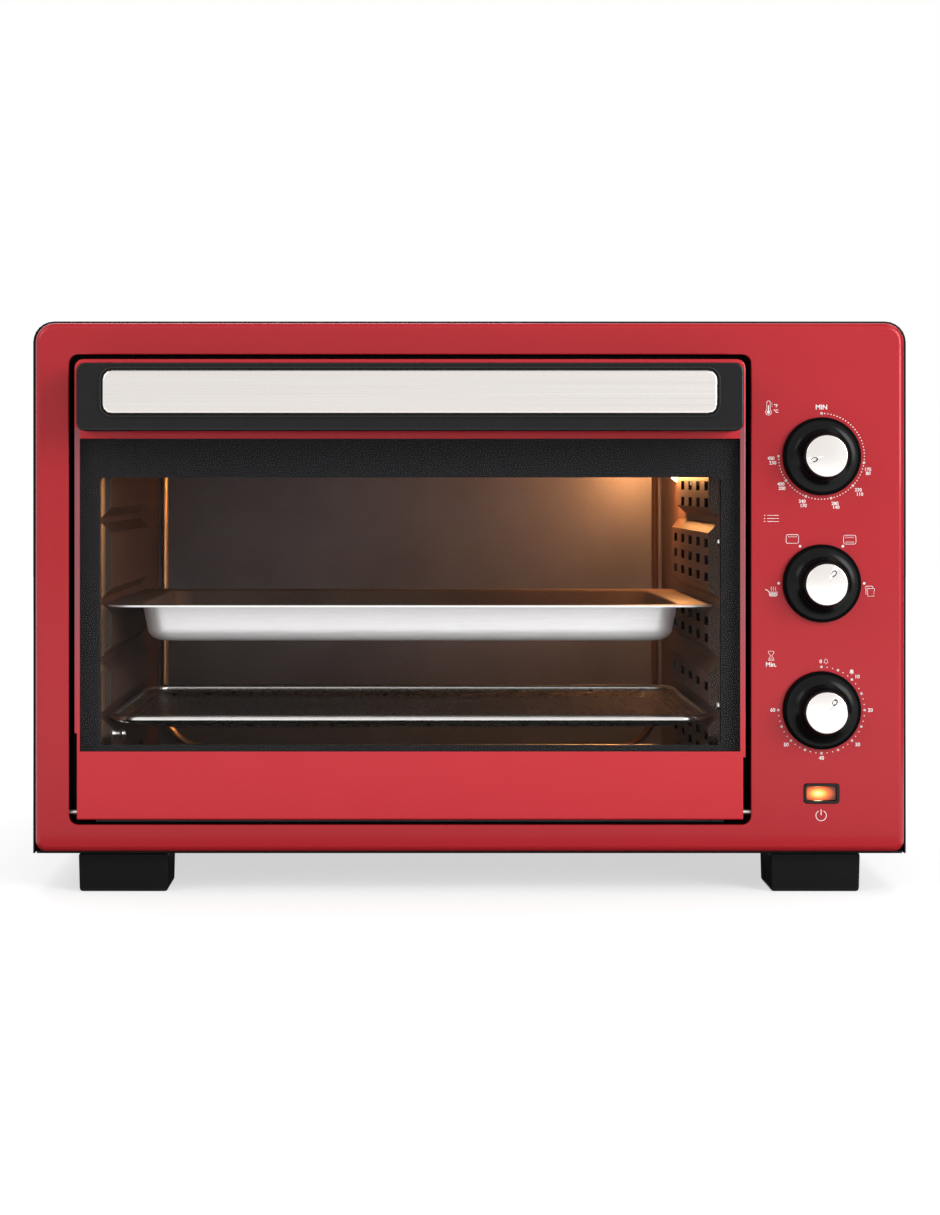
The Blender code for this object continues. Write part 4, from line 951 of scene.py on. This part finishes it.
class OVEN_OT_knobs(bpy.types.Operator):
    """Turn the three knobs and their silver caps, each with its engraved mark"""

    bl_idname = "oven.knobs"
    bl_label = "Knobs and caps"

    foot_height = 2.6 * mm
    foot_round = 0.65 * mm
    face_radius = 19.8 * mm
    grip_radius = 12.4 * mm
    grip_round = 0.7 * mm
    flare_share = 0.55
    cap_play = 0.3 * mm
    cap_recess = 0.6 * mm
    cap_round = 0.45 * mm
    mark_radius = 7.2 * mm
    mark_size = (4.4 * mm, 3.1 * mm)
    mark_depth = 0.35 * mm
    mark_turns = {"temperature": 254, "function": 32, "timer": 36}

    def knob(self, dial):
        low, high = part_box(f"{dial}_knob")
        radius = (high.x - low.x) / 2
        height = high.y - low.y
        place = dials[dial].copy()
        place.y = high.y
        cap_low, cap_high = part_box(f"{dial}_cap")
        recess = (cap_high.x - cap_low.x) / 2 + self.cap_play
        flare_top = height * self.flare_share
        spread = self.face_radius - self.grip_radius
        points = [(0, height - self.cap_recess), (recess, height - self.cap_recess)]
        points += arc((recess + 0.12 * mm, height - 0.12 * mm), 0.12 * mm, math.pi, math.pi / 2, 3)
        centre = (self.grip_radius - self.grip_round, height - self.grip_round)
        points += arc(centre, self.grip_round, math.pi / 2, 0, 6)
        for step in range(16):
            turn = step * math.pi / 30
            across = self.face_radius - spread * math.cos(turn)
            points.append((across, flare_top - (flare_top - self.foot_height) * math.sin(turn)))
        centre = (radius - self.foot_round, self.foot_height - self.foot_round)
        points += arc(centre, self.foot_round, math.pi / 2, 0, 6)
        points += [(radius, 0), (0, 0)]
        return turned(f"{dial}_knob_turned", points, place, angle=math.radians(50))

    def cap(self, dial):
        low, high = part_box(f"{dial}_cap")
        radius = (high.x - low.x) / 2
        thickness = high.y - low.y
        place = dials[dial].copy()
        place.y = high.y
        centre = (radius - self.cap_round, thickness - self.cap_round)
        points = [(0, thickness), *arc(centre, self.cap_round, math.pi / 2, 0, 5), (radius, 0), (0, 0)]
        cap = turned(f"{dial}_cap_turned", points, place, angle=math.radians(50))
        turn = math.radians(90 - self.mark_turns[dial])
        across = Vector((math.cos(turn), 0, math.sin(turn)))
        mark_place = place + across * self.mark_radius
        mark_place.y = low.y
        bpy.ops.mesh.primitive_cone_add(vertices=48, radius1=0.6, radius2=0.28, depth=1)
        cutter = settled("mark_cutter")
        cutter.data.transform(Matrix.Rotation(-math.pi / 2, 4, "X"))
        cutter.data.transform(Matrix.Diagonal((*self.flat_size(), 1)))
        cutter.data.transform(Matrix.Rotation(-turn, 4, "Y"))
        cutter.data.transform(Matrix.Translation(mark_place))
        applied(cap, "BOOLEAN", object=cutter, operation="DIFFERENCE", solver="EXACT")
        bpy.data.objects.remove(cutter)
        pick(cap)
        bpy.ops.object.shade_smooth_by_angle(angle=math.radians(35))
        dress(cap, knob_cap_steel(dial))
        # The mark's side walls are painted near black as painted shade in the pocket; its floor keeps the cap's
        # steel.
        cap.data.materials.append(black_plastic("mark_paint", 0.4))
        for face in cap.data.polygons:
            inside = (face.center - mark_place).length < self.mark_size[0] / 2
            if inside and -0.95 < face.normal.y < 0.5:
                face.material_index = 1
        return cap

    def flat_size(self):
        return self.mark_size[0], 2 * self.mark_depth, self.mark_size[1]

    def execute(self, context):
        for dial in dials:
            knob = placed(
                self.knob(dial),
                f"{dial}_dial",
                black_plastic("knob_plastic", 0.22, 0.13, 0.42),
                "black_plastic",
                f"{dial}_knob",
            )
            # Past the face radius the knob is painted darker and duller: painted shade round its foot.
            knob.data.materials.append(black_plastic("knob_foot_plastic", 0.5, 0.02, 0.25))
            for face in knob.data.polygons:
                away = face.center - dials[dial]
                away.y = 0
                if away.length > self.face_radius:
                    face.material_index = 1
            cap = self.cap(dial)
            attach(cap, f"{dial}_dial")
            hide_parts(f"{dial}_cap")
            dress_nodes(bare_steel(), f"{dial}_shaft")
        return {"FINISHED"}


class OVEN_OT_handle(bpy.types.Operator):
    """Finish the handle: a gloss black housing with a brushed plate let into it"""

    bl_idname = "oven.handle"
    bl_label = "Handle"

    def execute(self, context):
        dress(skin("handle_housing", 0.35 * mm), black_plastic("handle_plastic", 0.22, 0.2, 0.8))
        brush = brushed("plate_brushed", shade(colours().steel, 0.9), (4, 3000, 3000), 0.26)
        dress(skin("handle_plate"), brush)
        low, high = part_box("handle_plate")
        centre = (low + high) / 2
        level = max(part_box("handle_housing")[0].y + 0.05 * mm, low.y + 0.4 * mm)
        outline = rounded(high.x - low.x + 2.6 * mm, high.z - low.z + 2.6 * mm, 6.3 * mm, 6)
        places = [Vector((centre.x + u, level, centre.z + v)) for u, v in outline]
        lip = wire("handle_lip", places, 0.35 * mm, ring=True)
        placed(lip, "door", black_plastic("lip_plastic", 0.25, 0.3, 1.6), "black_plastic")
        return {"FINISHED"}


class OVEN_OT_glass(bpy.types.Operator):
    """Clear the door glass and print the dark border on its back"""

    bl_idname = "oven.glass"
    bl_label = "Door glass"

    window_sides = (11.2 * mm, 10.4 * mm)
    window_ends = (9.1 * mm, 27.6 * mm)
    window_corner = 2.6 * mm
    print_gap = 0.05 * mm
    print_thickness = 0.2 * mm

    def execute(self, context):
        dress(skin("door_glass"), clear_glass())
        low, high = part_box("door_glass")
        back = high.y + self.print_gap
        bpy.ops.mesh.primitive_cube_add(
            size=1,
            location=((low.x + high.x) / 2, back + self.print_thickness / 2, (low.z + high.z) / 2),
            scale=(high.x - low.x, self.print_thickness, high.z - low.z),
        )
        border = settled("glass_border")
        window_low = Vector((low.x + self.window_sides[0], back - mm, low.z + self.window_ends[0]))
        window_high = Vector((high.x - self.window_sides[1], back + mm, high.z - self.window_ends[1]))
        centre = (window_low + window_high) / 2
        span = window_high - window_low
        outline = rounded(span.x, span.z, self.window_corner, 8)
        places = [(centre.x + u, window_low.y, centre.z + v) for u, v in outline]
        window = chain("border_window", places, ring=True)
        editing(window)
        bpy.ops.mesh.edge_face_add()
        bpy.ops.mesh.extrude_region_move(TRANSFORM_OT_translate={"value": (0, span.y, 0)})
        closed(window)
        applied(border, "BOOLEAN", object=window, operation="DIFFERENCE", solver="EXACT")
        bpy.data.objects.remove(window)
        placed(border, "door", glass_print(), "black_steel")
        return {"FINISHED"}


class OVEN_OT_hinges(bpy.types.Operator):
    """Finish the hinge pins and arms"""

    bl_idname = "oven.hinges"
    bl_label = "Hinges"

    def execute(self, context):
        for side in ("left", "right"):
            for node in (f"hinge_pin_{side}", f"hinge_arm_{side}"):
                dress(skin(node), bare_steel())
        return {"FINISHED"}


class OVEN_OT_cavity(bpy.types.Operator):
    """Finish the cavity's pressed walls, its floor and ceiling and what is screwed to them"""

    bl_idname = "oven.cavity"
    bl_label = "Cavity"

    def execute(self, context):
        # The side walls' brown is the grey coating with the lamp's warm light painted in, and the right wall's copy
        # is 1.55 times lighter as painted light.
        brown_painted_lamp_light = (0.13, 0.07, 0.05)
        # A darker copy of the coating for the upward slopes near the top: painted shade where the lamp lights them.
        slope = cavity_coating("upper_slope_coating", (0.06, 0.032, 0.022), 0, 0.6, 0.08)
        for side, edge, tone in (("left", 1.6 * mm, 1), ("right", 0.35 * mm, 1.55)):
            coating = cavity_coating(f"{side}_wall_coating", shade(brown_painted_lamp_light, tone), 0.6, 0.42, 0.08)
            wall = dress(skin(f"cavity_{side}_wall", edge, 3), coating)
            wall.data.materials.append(slope_painted_shade_and_glint())
            wall.data.materials.append(slope)
            # Front-facing faces take the painted shade and lamp glint of the slopes; upward faces near the top take
            # the painted shade.
            for face in wall.data.polygons:
                if face.normal.y < -0.5:
                    face.material_index = 1
                elif face.normal.z > 0.3 and face.center.z > cavity_high.z - 115 * mm:
                    face.material_index = 2
        for sheet in ("ceiling", "floor"):
            dress(skin(f"cavity_{sheet}"), cavity_coating())
        back = dress(skin("cavity_back_wall"), cavity_coating())
        # The bead is the same grey coating: its brown is painted lamp light, and its left run is painted bright
        # orange as a highlight of the lamp.
        back.data.materials.append(cavity_coating("bead_coating", brown_painted_lamp_light, 0.6, 0.42, 0.08))
        back.data.materials.append(cavity_coating("bead_coating_lit", (0.55, 0.39, 0.22), 0.75, 0.3, 0.08))
        level = max(face.center.y for face in back.data.polygons if face.normal.y < -0.99)
        plane = min(
            face.center.y for face in back.data.polygons if face.normal.y < -0.99 and face.area > 0.01
        )
        for face in back.data.polygons:
            if abs(face.center.y - plane) > 0.1 * mm and face.center.y < level + mm:
                face.material_index = 2 if face.center.x < cavity_low.x + 60 * mm else 1
        steel = bare_steel("screw_steel", (0.75, 0.73, 0.7), 0.24)
        for node in ("wall_screw_upper", "wall_screw_lower"):
            dress(skin(node), steel)
        low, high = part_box("wall_bolt_left")
        stem = (high.z - low.z) / 2
        reach = high.x - low.x
        points = [(0, reach)]
        for ring in range(3, 0, -1):
            top = reach * ring / 3
            foot = reach * (ring - 0.62) / 3
            points += [(stem, top), (stem * 1.5, (top + foot) / 2), (stem, foot), (stem * 0.7, foot)]
            points.append((stem * 0.7, reach * (ring - 1) / 3))
        points.append((0, 0))
        bolt = turned(
            "wall_bolt_turned", points, Vector((low.x, (low.y + high.y) / 2, (low.z + high.z) / 2)), (1, 0, 0)
        )
        placed(bolt, "casing", steel, "bare_steel", "wall_bolt_left")
        for level in ("upper", "lower"):
            for row in ("front", "rear"):
                dress(skin(f"{level}_{row}_heater"), dark_metal())
        return {"FINISHED"}


class OVEN_OT_trays(bpy.types.Operator):
    """Press the baking pan and the mesh tray with rounder forms, and finish the crumb tray"""

    bl_idname = "oven.trays"
    bl_label = "Trays"

    sheet = 1 * mm
    flange_side = 20 * mm
    flange_end = 12 * mm
    lip = 1.5 * mm
    lean = 2.2 * mm
    foot = 7 * mm
    corner = 14 * mm
    rim_radius = 2.2 * mm
    tray_corner = 18 * mm
    tray_taper = 15 * mm

    def dished(self, name, centre, corner, rings):
        """A pressed dish: a ring drawn in step by step, its bottom closed, then given its sheet."""
        half_x, half_y, level = rings[0]
        outline = rounded(2 * half_x, 2 * half_y, corner, 10)
        dish = chain(name, [(centre.x + u, centre.y + v, level) for u, v in outline], ring=True)
        editing(dish)
        for before, after in zip(rings, rings[1:]):
            drop = (0, 0, after[2] - before[2])
            bpy.ops.mesh.extrude_edges_move(TRANSFORM_OT_translate={"value": drop})
            bpy.ops.transform.resize(
                value=(after[0] / before[0], after[1] / before[1], 1),
                center_override=(centre.x, centre.y, after[2]),
            )
        bpy.ops.mesh.edge_face_add()
        closed(dish)
        bottom = max(dish.data.polygons, key=lambda face: face.area)
        if bottom.normal.z < 0:
            editing(dish)
            bpy.ops.mesh.flip_normals()
            bpy.ops.object.mode_set(mode="OBJECT")
        applied(dish, "SOLIDIFY", thickness=self.sheet, offset=-1)
        editing(dish)
        return closed(dish)

    def pan(self):
        low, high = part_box("baking_pan")
        half_x, half_y = (high.x - low.x) / 2, (high.y - low.y) / 2
        well_x, well_y = half_x - self.flange_side, half_y - self.flange_end
        rings = [(half_x, half_y, high.z)]
        for turn in (90, 60, 30, 0):
            across = self.lip * (1 - math.cos(math.radians(turn)))
            drop = self.lip * (1 - math.sin(math.radians(turn)))
            rings.append((well_x + across, well_y + across, high.z - drop))
        floor = low.z + self.sheet
        for turn in range(0, 91, 15):
            inset = self.lean + self.foot * (1 - math.cos(math.radians(turn)))
            rise = self.foot * (1 - math.sin(math.radians(turn)))
            rings.append((well_x - inset, well_y - inset, floor + rise))
        pan = self.dished("pressed_pan", (low + high) / 2, self.corner, rings)
        # The rim's brown and brown specular tint are a painted reflection of the cavity's brown walls.
        flange_painted_reflection = bare_steel("pan_flange_steel", (0.125, 0.075, 0.05), 0.22)
        shader_of(flange_painted_reflection).inputs["Specular Tint"].default_value = (0.36, 0.26, 0.2, 1)
        dress(pan, flange_painted_reflection)
        pan.data.materials.append(pan_satin())
        # Top and inner faces take a dark brown: painted shade and painted reflection of the walls on the flange and
        # inside the pan.
        pan.data.materials.append(cavity_coating("pan_coating", (0.1, 0.07, 0.055), 0, 0.5))
        for face in pan.data.polygons:
            away = face.center - middle("baking_pan")
            away.z = 0
            outward = face.normal.dot(away.normalized())
            if face.normal.z > 0.3 or outward < -0.2:
                face.material_index = 2
            elif (face.normal.z < -0.3 or outward > 0.2) and face.center.z < high.z - self.sheet / 2:
                face.material_index = 1
        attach(pan, "pan")
        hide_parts("baking_pan")

    def mesh_tray(self):
        """The tray's woven dish, and its bright rolled rim in the same piece."""
        low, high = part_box("mesh_tray")
        centre = (low + high) / 2
        rim = self.rim_radius
        half_x, half_y = (high.x - low.x) / 2 - rim, (high.y - low.y) / 2 - rim
        top, floor = high.z - rim, low.z + self.sheet
        rings = [(half_x, half_y, top)]
        for share, drop in ((0.35, 0.25), (0.7, 0.6), (0.9, 0.88), (1.1, 1)):
            inset = self.tray_taper * share
            rings.append((half_x - inset, half_y - inset, top - (top - floor) * drop))
        dish = self.dished("mesh_dish", centre, self.tray_corner, rings)
        dress(dish, steel_mesh())
        outline = rounded(2 * half_x, 2 * half_y, self.tray_corner, 12)
        path = [(centre.x + u, centre.y + v, top) for u, v in outline]
        edge = wire("tray_rim", path, rim, ring=True, sides=6)
        dress(edge, bare_steel("tray_rim_steel", (0.72, 0.7, 0.68), 0.2))
        tray = joined("mesh_tray_pressed", [edge, dish])
        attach(tray, "mesh")
        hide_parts("mesh_tray")

    def execute(self, context):
        self.pan()
        self.mesh_tray()
        dress(skin("crumb_tray"), bare_steel("crumb_tray_steel", (0.3, 0.29, 0.27), 0.4))
        return {"FINISHED"}


class OVEN_OT_lamp(bpy.types.Operator):
    """Finish the cavity lamp and light it"""

    bl_idname = "oven.lamp"
    bl_label = "Cavity lamp"

    def execute(self, context):
        dress(skin("lamp_cover"), lamp_glass())
        dress(skin("lamp_bulb"), lamp_glass())
        dress_nodes(ceramic(), "lamp_holder")
        low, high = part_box("lamp_cover")
        place = Vector((low.x - 3 * mm, (low.y + high.y) / 2, (low.z + high.z) / 2))
        bpy.ops.object.light_add(type="POINT", location=place)
        light = context.object
        light.name = "cavity_glow"
        light.data.energy = sizes().lamp_power
        light.data.color = tuple(colours().glow)
        light.data.shadow_soft_size = 6 * mm
        return {"FINISHED"}


class OVEN_OT_controls(bpy.types.Operator):
    """Finish the indicator and the controls behind the front"""

    bl_idname = "oven.controls"
    bl_label = "Indicator and controls"

    def execute(self, context):
        dress(skin("indicator_bezel"), black_plastic("bezel_plastic", 0.2, 0.3, 0.3))
        dress(skin("indicator_lens", 0.3 * mm, 3), lens_amber())
        dress(skin("indicator_lamp"), lamp_glass())
        for node in ("thermostat_body", "selector_body", "timer_body"):
            dress_nodes(bare_steel("control_steel", (0.55, 0.54, 0.52), 0.38), node)
        dress_nodes(bare_steel(), "timer_bell")
        return {"FINISHED"}


def lettering(text, place, height):
    """A generic number or word as thin raised ink, its middle at a place on the front."""
    bpy.ops.object.text_add()
    words = bpy.context.object
    words.data.body = text
    words.data.align_x = "CENTER"
    words.data.extrude = 0.5
    words.data.offset = 0.022
    words.data.resolution_u = 4
    bpy.ops.object.convert(target="MESH")
    words = settled("lettering")
    xs = [vert.co.x for vert in words.data.vertices]
    ys = [vert.co.y for vert in words.data.vertices]
    factor = height / (max(ys) - min(ys))
    words.data.transform(Matrix.Translation((-(min(xs) + max(xs)) / 2, -(min(ys) + max(ys)) / 2, 0)))
    words.data.transform(Matrix.Diagonal((factor, factor, sizes().ink_height, 1)))
    words.data.transform(Matrix.Rotation(math.pi / 2, 4, "X"))
    words.data.transform(Matrix.Translation((place.x, front_y - sizes().ink_height / 2, place.z)))
    return words


def stroke(place, points, width=0.32 * mm, ring=False):
    """A thin line of ink through points given across and up from a place."""
    line = wire("stroke", [(place.x + u, 0, place.z + v) for u, v in points], width / 2, ring, 1)
    line.data.transform(Matrix.Diagonal((1, sizes().ink_height / width, 1, 1)))
    line.data.transform(Matrix.Translation((0, front_y - sizes().ink_height / 2, 0)))
    return line


def dot(place, radius):
    """A round dot of ink, its face edge softened."""
    thickness = sizes().ink_height
    bpy.ops.mesh.primitive_cylinder_add(
        vertices=20,
        radius=radius,
        depth=thickness,
        location=(place.x, front_y - thickness / 2, place.z),
        rotation=(math.pi / 2, 0, 0),
    )
    made = settled("dot")
    editing(made, everything=False)
    select_edges(made, lambda co: co.y < front_y - thickness / 2)
    bpy.ops.mesh.bevel(offset=thickness / 3, segments=1)
    return closed(made)


def scale_dots(place, radius, turns, dot_radius):
    """Dots round a dial at clockwise turns from its top, one modelled and the rest copied."""
    first = dot(place, dot_radius)
    made = []
    for turn in turns:
        angle = math.radians(turn)
        shift = Vector((radius * math.sin(angle), 0, radius * math.cos(angle)))
        made.append(copied(first, shift))
    bpy.data.objects.remove(first)
    return made


def spot(place, across, up):
    return Vector((place.x + across * mm, place.y, place.z + up * mm))


def scaled(points, factor=mm):
    return [(u * factor, v * factor) for u, v in points]


def rounded(width, height, corner, steps=3):
    """A rectangle with round corners, as points across and up from its middle."""
    half_x, half_y = width / 2 - corner, height / 2 - corner
    quarter = math.pi / 2
    points = []
    for index, (u, v) in enumerate(((half_x, half_y), (-half_x, half_y), (-half_x, -half_y), (half_x, -half_y))):
        points += arc((u, v), corner, index * quarter, (index + 1) * quarter, steps)
    return points


def zigzag(left, right, level, height, teeth):
    step = (right - left) / (2 * teeth)
    return [(left + k * step, level + (height if k % 2 else -height) / 2) for k in range(2 * teeth + 1)]


class OVEN_OT_temperature_scale(bpy.types.Operator):
    """Print the temperature dial's ring of dots, its numbers and its thermometer"""

    bl_idname = "oven.temperature_scale"
    bl_label = "Temperature scale"

    radius = 23.9 * mm
    steps = 63
    sweep = 270
    marked_turns = (0, 98.6, 132.9, 167.1, 201.4, 235.7, 270)
    numbers = (
        ("175", 26.0, -7.3),
        ("80", 26.0, -9.5),
        ("230", 20.5, -18.6),
        ("110", 21.5, -21.0),
        ("280", 7.5, -26.2),
        ("140", 8.3, -28.3),
        ("340", -10.7, -25.0),
        ("170", -9.9, -27.4),
        ("400", -22.6, -15.4),
        ("200", -22.0, -17.8),
        ("450", -28.1, -1.1),
        ("230", -27.1, -3.6),
    )
    number_height = 1.95 * mm
    word_height = 2.7 * mm
    small_dot = 0.34 * mm
    big_dot = 0.72 * mm

    def thermometer(self, place):
        tube = arc((0, 2.9 * mm), 0.95 * mm, math.pi, 0, 6)
        bulb = arc((0, -2.5 * mm), 1.6 * mm, math.radians(55), math.radians(-235), 14)
        pieces = [stroke(place, [*tube, *bulb], 0.36 * mm, ring=True)]
        pieces.append(stroke(place, scaled([(0, 1.4), (0, -1.9)]), 0.7 * mm))
        bead = Vector((place.x, place.y, place.z - 2.5 * mm))
        pieces.append(dot(bead, 0.85 * mm))
        for level in (2.6, 1.6, 0.6):
            pieces.append(stroke(place, scaled([(1.6, level), (2.2, level)]), 0.25 * mm))
        return pieces

    def execute(self, context):
        place = dials["temperature"]
        turns = [self.sweep * step / self.steps for step in range(self.steps + 1)]
        pieces = scale_dots(place, self.radius, turns, self.small_dot)
        pieces += scale_dots(place, self.radius, self.marked_turns, self.big_dot)
        for text, across, up in self.numbers:
            pieces.append(lettering(text, spot(place, across, up), self.number_height))
        pieces.append(lettering("MIN", spot(place, 0, 27.4), self.word_height))
        pieces.append(lettering("°F", spot(place, -25.4, 28.2), self.number_height))
        pieces.append(lettering("°C", spot(place, -25.3, 25.2), self.number_height))
        pieces += self.thermometer(spot(place, -29.5, 27.05))
        placed(joined("temperature_scale", pieces), "casing", dial_ink(), "ceramic")
        return {"FINISHED"}


class OVEN_OT_function_scale(bpy.types.Operator):
    """Print the function dial's dots and pictograms"""

    bl_idname = "oven.function_scale"
    bl_label = "Function scale"

    radius = 23.8 * mm
    turns = (-90, -30, 30, 90)
    dot_radius = 0.72 * mm
    box_size = (6.9 * mm, 4.9 * mm)
    box_corner = 1 * mm

    def heat_box(self, place, levels):
        """A cavity seen from the front, with a wavy element at each level."""
        pieces = [stroke(place, rounded(*self.box_size, self.box_corner), 0.36 * mm, ring=True)]
        for level in levels:
            wave = zigzag(-2.3 * mm, 2.3 * mm, level * mm, 0.8 * mm, 6)
            pieces.append(stroke(place, wave, 0.3 * mm))
        return pieces

    def dish(self, place):
        """A dish with a handle and three wisps of steam."""
        bowl = scaled([(-1.3, -0.3), (3.3, -0.3), (3.1, -2.2), (2.5, -2.7), (-0.5, -2.7), (-1.1, -2.2)])
        pieces = [stroke(place, bowl, 0.36 * mm, ring=True)]
        for level in (-0.9, -1.5, -2.1):
            pieces.append(stroke(place, scaled([(-1.0, level), (3.0, level)]), 0.5 * mm))
        pieces.append(stroke(place, scaled([(-1.3, -0.4), (-2.2, 0.7), (-3.4, 1.1)]), 0.6 * mm))
        for across in (-0.2, 1.0, 2.2):
            wisp = [(across, 0.4), (across + 0.3, 0.9), (across - 0.1, 1.5), (across + 0.2, 2.1), (across, 2.6)]
            pieces.append(stroke(place, scaled(wisp), 0.3 * mm))
        return pieces

    def toast(self, place):
        """Two slices, the one behind showing past the one in front."""
        front = [(-1.3, -2.8), (2.2, -2.8), (2.2, 0.1), (2.6, 0.5), (2.5, 1.2), (1.9, 1.5)]
        front += [(-1.0, 1.5), (-1.6, 1.2), (-1.7, 0.5), (-1.3, 0.1)]
        back = [(-1.5, -1.5), (-2.3, -1.5), (-2.3, 1.2), (-2.7, 1.7), (-2.6, 2.4), (-2.0, 2.8)]
        back += [(1.0, 2.8), (1.6, 2.5), (1.7, 1.7)]
        return [stroke(place, scaled(front), 0.36 * mm, ring=True), stroke(place, scaled(back), 0.36 * mm)]

    def menu(self, place):
        pieces = []
        for level in (1.7, 0, -1.7):
            pieces.append(stroke(place, scaled([(-2.4, level), (4.0, level)]), 0.36 * mm))
            pieces.append(dot(spot(place, -3.8, level), 0.32 * mm))
        return pieces

    def execute(self, context):
        place = dials["function"]
        pieces = scale_dots(place, self.radius, self.turns, self.dot_radius)
        pieces += self.heat_box(spot(place, -16.2, 24.7), (1.3,))
        pieces += self.heat_box(spot(place, 15.7, 24.3), (1.3, -1.3))
        pieces += self.dish(spot(place, -27.9, -4.5))
        pieces += self.toast(spot(place, 27.0, -4.4))
        pieces += self.menu(spot(place, -27.8, 36.1))
        placed(joined("function_scale", pieces), "casing", dial_ink(), "ceramic")
        return {"FINISHED"}


class OVEN_OT_timer_scale(bpy.types.Operator):
    """Print the timer's ring of dots, its numbers, its signs and the power sign"""

    bl_idname = "oven.timer_scale"
    bl_label = "Timer scale"

    radius = 24 * mm
    steps = 36
    sweep = 270
    small_dot = 0.32 * mm
    big_dot = 0.68 * mm
    numbers = (
        ("0", -0.4, 27.1),
        ("10", 20.1, 18.7),
        ("20", 27.2, 0),
        ("30", 20.2, -19.1),
        ("40", 0, -26.6),
        ("50", -19.6, -19.2),
        ("60", -27.1, 0.1),
    )
    number_height = 2.1 * mm
    word_height = 2.6 * mm
    power_radius = 2.9 * mm

    def bell(self, place, filled):
        """A small bell, drawn in outline or filled."""
        outline = [(-1.2, -0.9), (-0.9, -0.5), (-0.8, 0.5), (-0.4, 1.1), (0.4, 1.1), (0.8, 0.5), (0.9, -0.5), (1.2, -0.9)]
        pieces = [stroke(place, scaled(outline), 0.3 * mm, ring=True)]
        pieces.append(dot(spot(place, 0, -1.35), 0.25 * mm))
        if filled:
            for across in (-0.45, 0, 0.45):
                pieces.append(stroke(place, scaled([(across, -0.9), (across, 0.9)]), 0.5 * mm))
        return pieces

    def hourglass(self, place):
        upper = [(-1.5, 2.6), (1.5, 2.6), (1.4, 1.6), (0.3, 0), (1.4, -1.6), (1.5, -2.6)]
        lower = [(-1.5, -2.6), (-1.4, -1.6), (-0.3, 0), (-1.4, 1.6)]
        pieces = [stroke(place, scaled([*upper, *lower]), 0.34 * mm, ring=True)]
        pieces.append(stroke(place, scaled([(-0.9, -2.0), (0, -1.2), (0.9, -2.0)]), 0.34 * mm, ring=True))
        return pieces

    def power(self, place):
        ring = arc((0, 0), self.power_radius, math.radians(62), math.radians(-242), 22)
        needle = scaled([(0, 0.2), (0, 3.4)])
        return [stroke(place, ring, 0.5 * mm), stroke(place, needle, 0.5 * mm)]

    def execute(self, context):
        place = dials["timer"]
        turns = [self.sweep * step / self.steps for step in range(self.steps + 1)]
        pieces = scale_dots(place, self.radius, turns, self.small_dot)
        pieces += scale_dots(place, self.radius, turns[::3], self.big_dot)
        for text, across, up in self.numbers:
            pieces.append(lettering(text, spot(place, across, up), self.number_height))
        pieces.append(lettering("Min.", spot(place, -28, 25.4), self.word_height))
        pieces += self.bell(spot(place, 2.5, 27.2), False)
        pieces += self.bell(spot(place, 16.8, 21.4), True)
        pieces += self.hourglass(spot(place, -28, 30.2))
        placed(joined("timer_scale", pieces), "casing", dial_ink(), "ceramic")
        power = joined("power_sign", self.power(spot(place, -0.2, -58.7)))
        placed(power, "casing", dial_ink(), "ceramic")
        return {"FINISHED"}


class OVEN_PT_panel(bpy.types.Panel):
    """The oven's pieces in the 3D view's sidebar"""

    bl_idname = "OVEN_PT_panel"
    bl_label = "Electric oven"
    bl_space_type = "VIEW_3D"
    bl_region_type = "UI"
    bl_category = "Oven"

    def draw(self, context):
        for operator in operators:
            self.layout.operator(operator.bl_idname)


operators = (
    OVEN_OT_stage,
    OVEN_OT_casing,
    OVEN_OT_knobs,
    OVEN_OT_handle,
    OVEN_OT_glass,
    OVEN_OT_hinges,
    OVEN_OT_cavity,
    OVEN_OT_trays,
    OVEN_OT_lamp,
    OVEN_OT_controls,
    OVEN_OT_temperature_scale,
    OVEN_OT_function_scale,
    OVEN_OT_timer_scale,
)
classes = (OvenColours, OvenSizes, *operators, OVEN_PT_panel)


def register():
    for item in classes:
        bpy.utils.register_class(item)
    bpy.types.Scene.oven_colours = PointerProperty(type=OvenColours)
    bpy.types.Scene.oven_sizes = PointerProperty(type=OvenSizes)


def unregister():
    del bpy.types.Scene.oven_sizes
    del bpy.types.Scene.oven_colours
    for item in reversed(classes):
        bpy.utils.unregister_class(item)


def main():
    register()
    bpy.ops.oven.stage()
    bpy.ops.oven.casing()
    bpy.ops.oven.knobs()
    bpy.ops.oven.handle()
    bpy.ops.oven.glass()
    bpy.ops.oven.hinges()
    bpy.ops.oven.cavity()
    bpy.ops.oven.trays()
    bpy.ops.oven.lamp()
    bpy.ops.oven.controls()
    bpy.ops.oven.temperature_scale()
    bpy.ops.oven.function_scale()
    bpy.ops.oven.timer_scale()


if __name__ == "__main__":
    main()
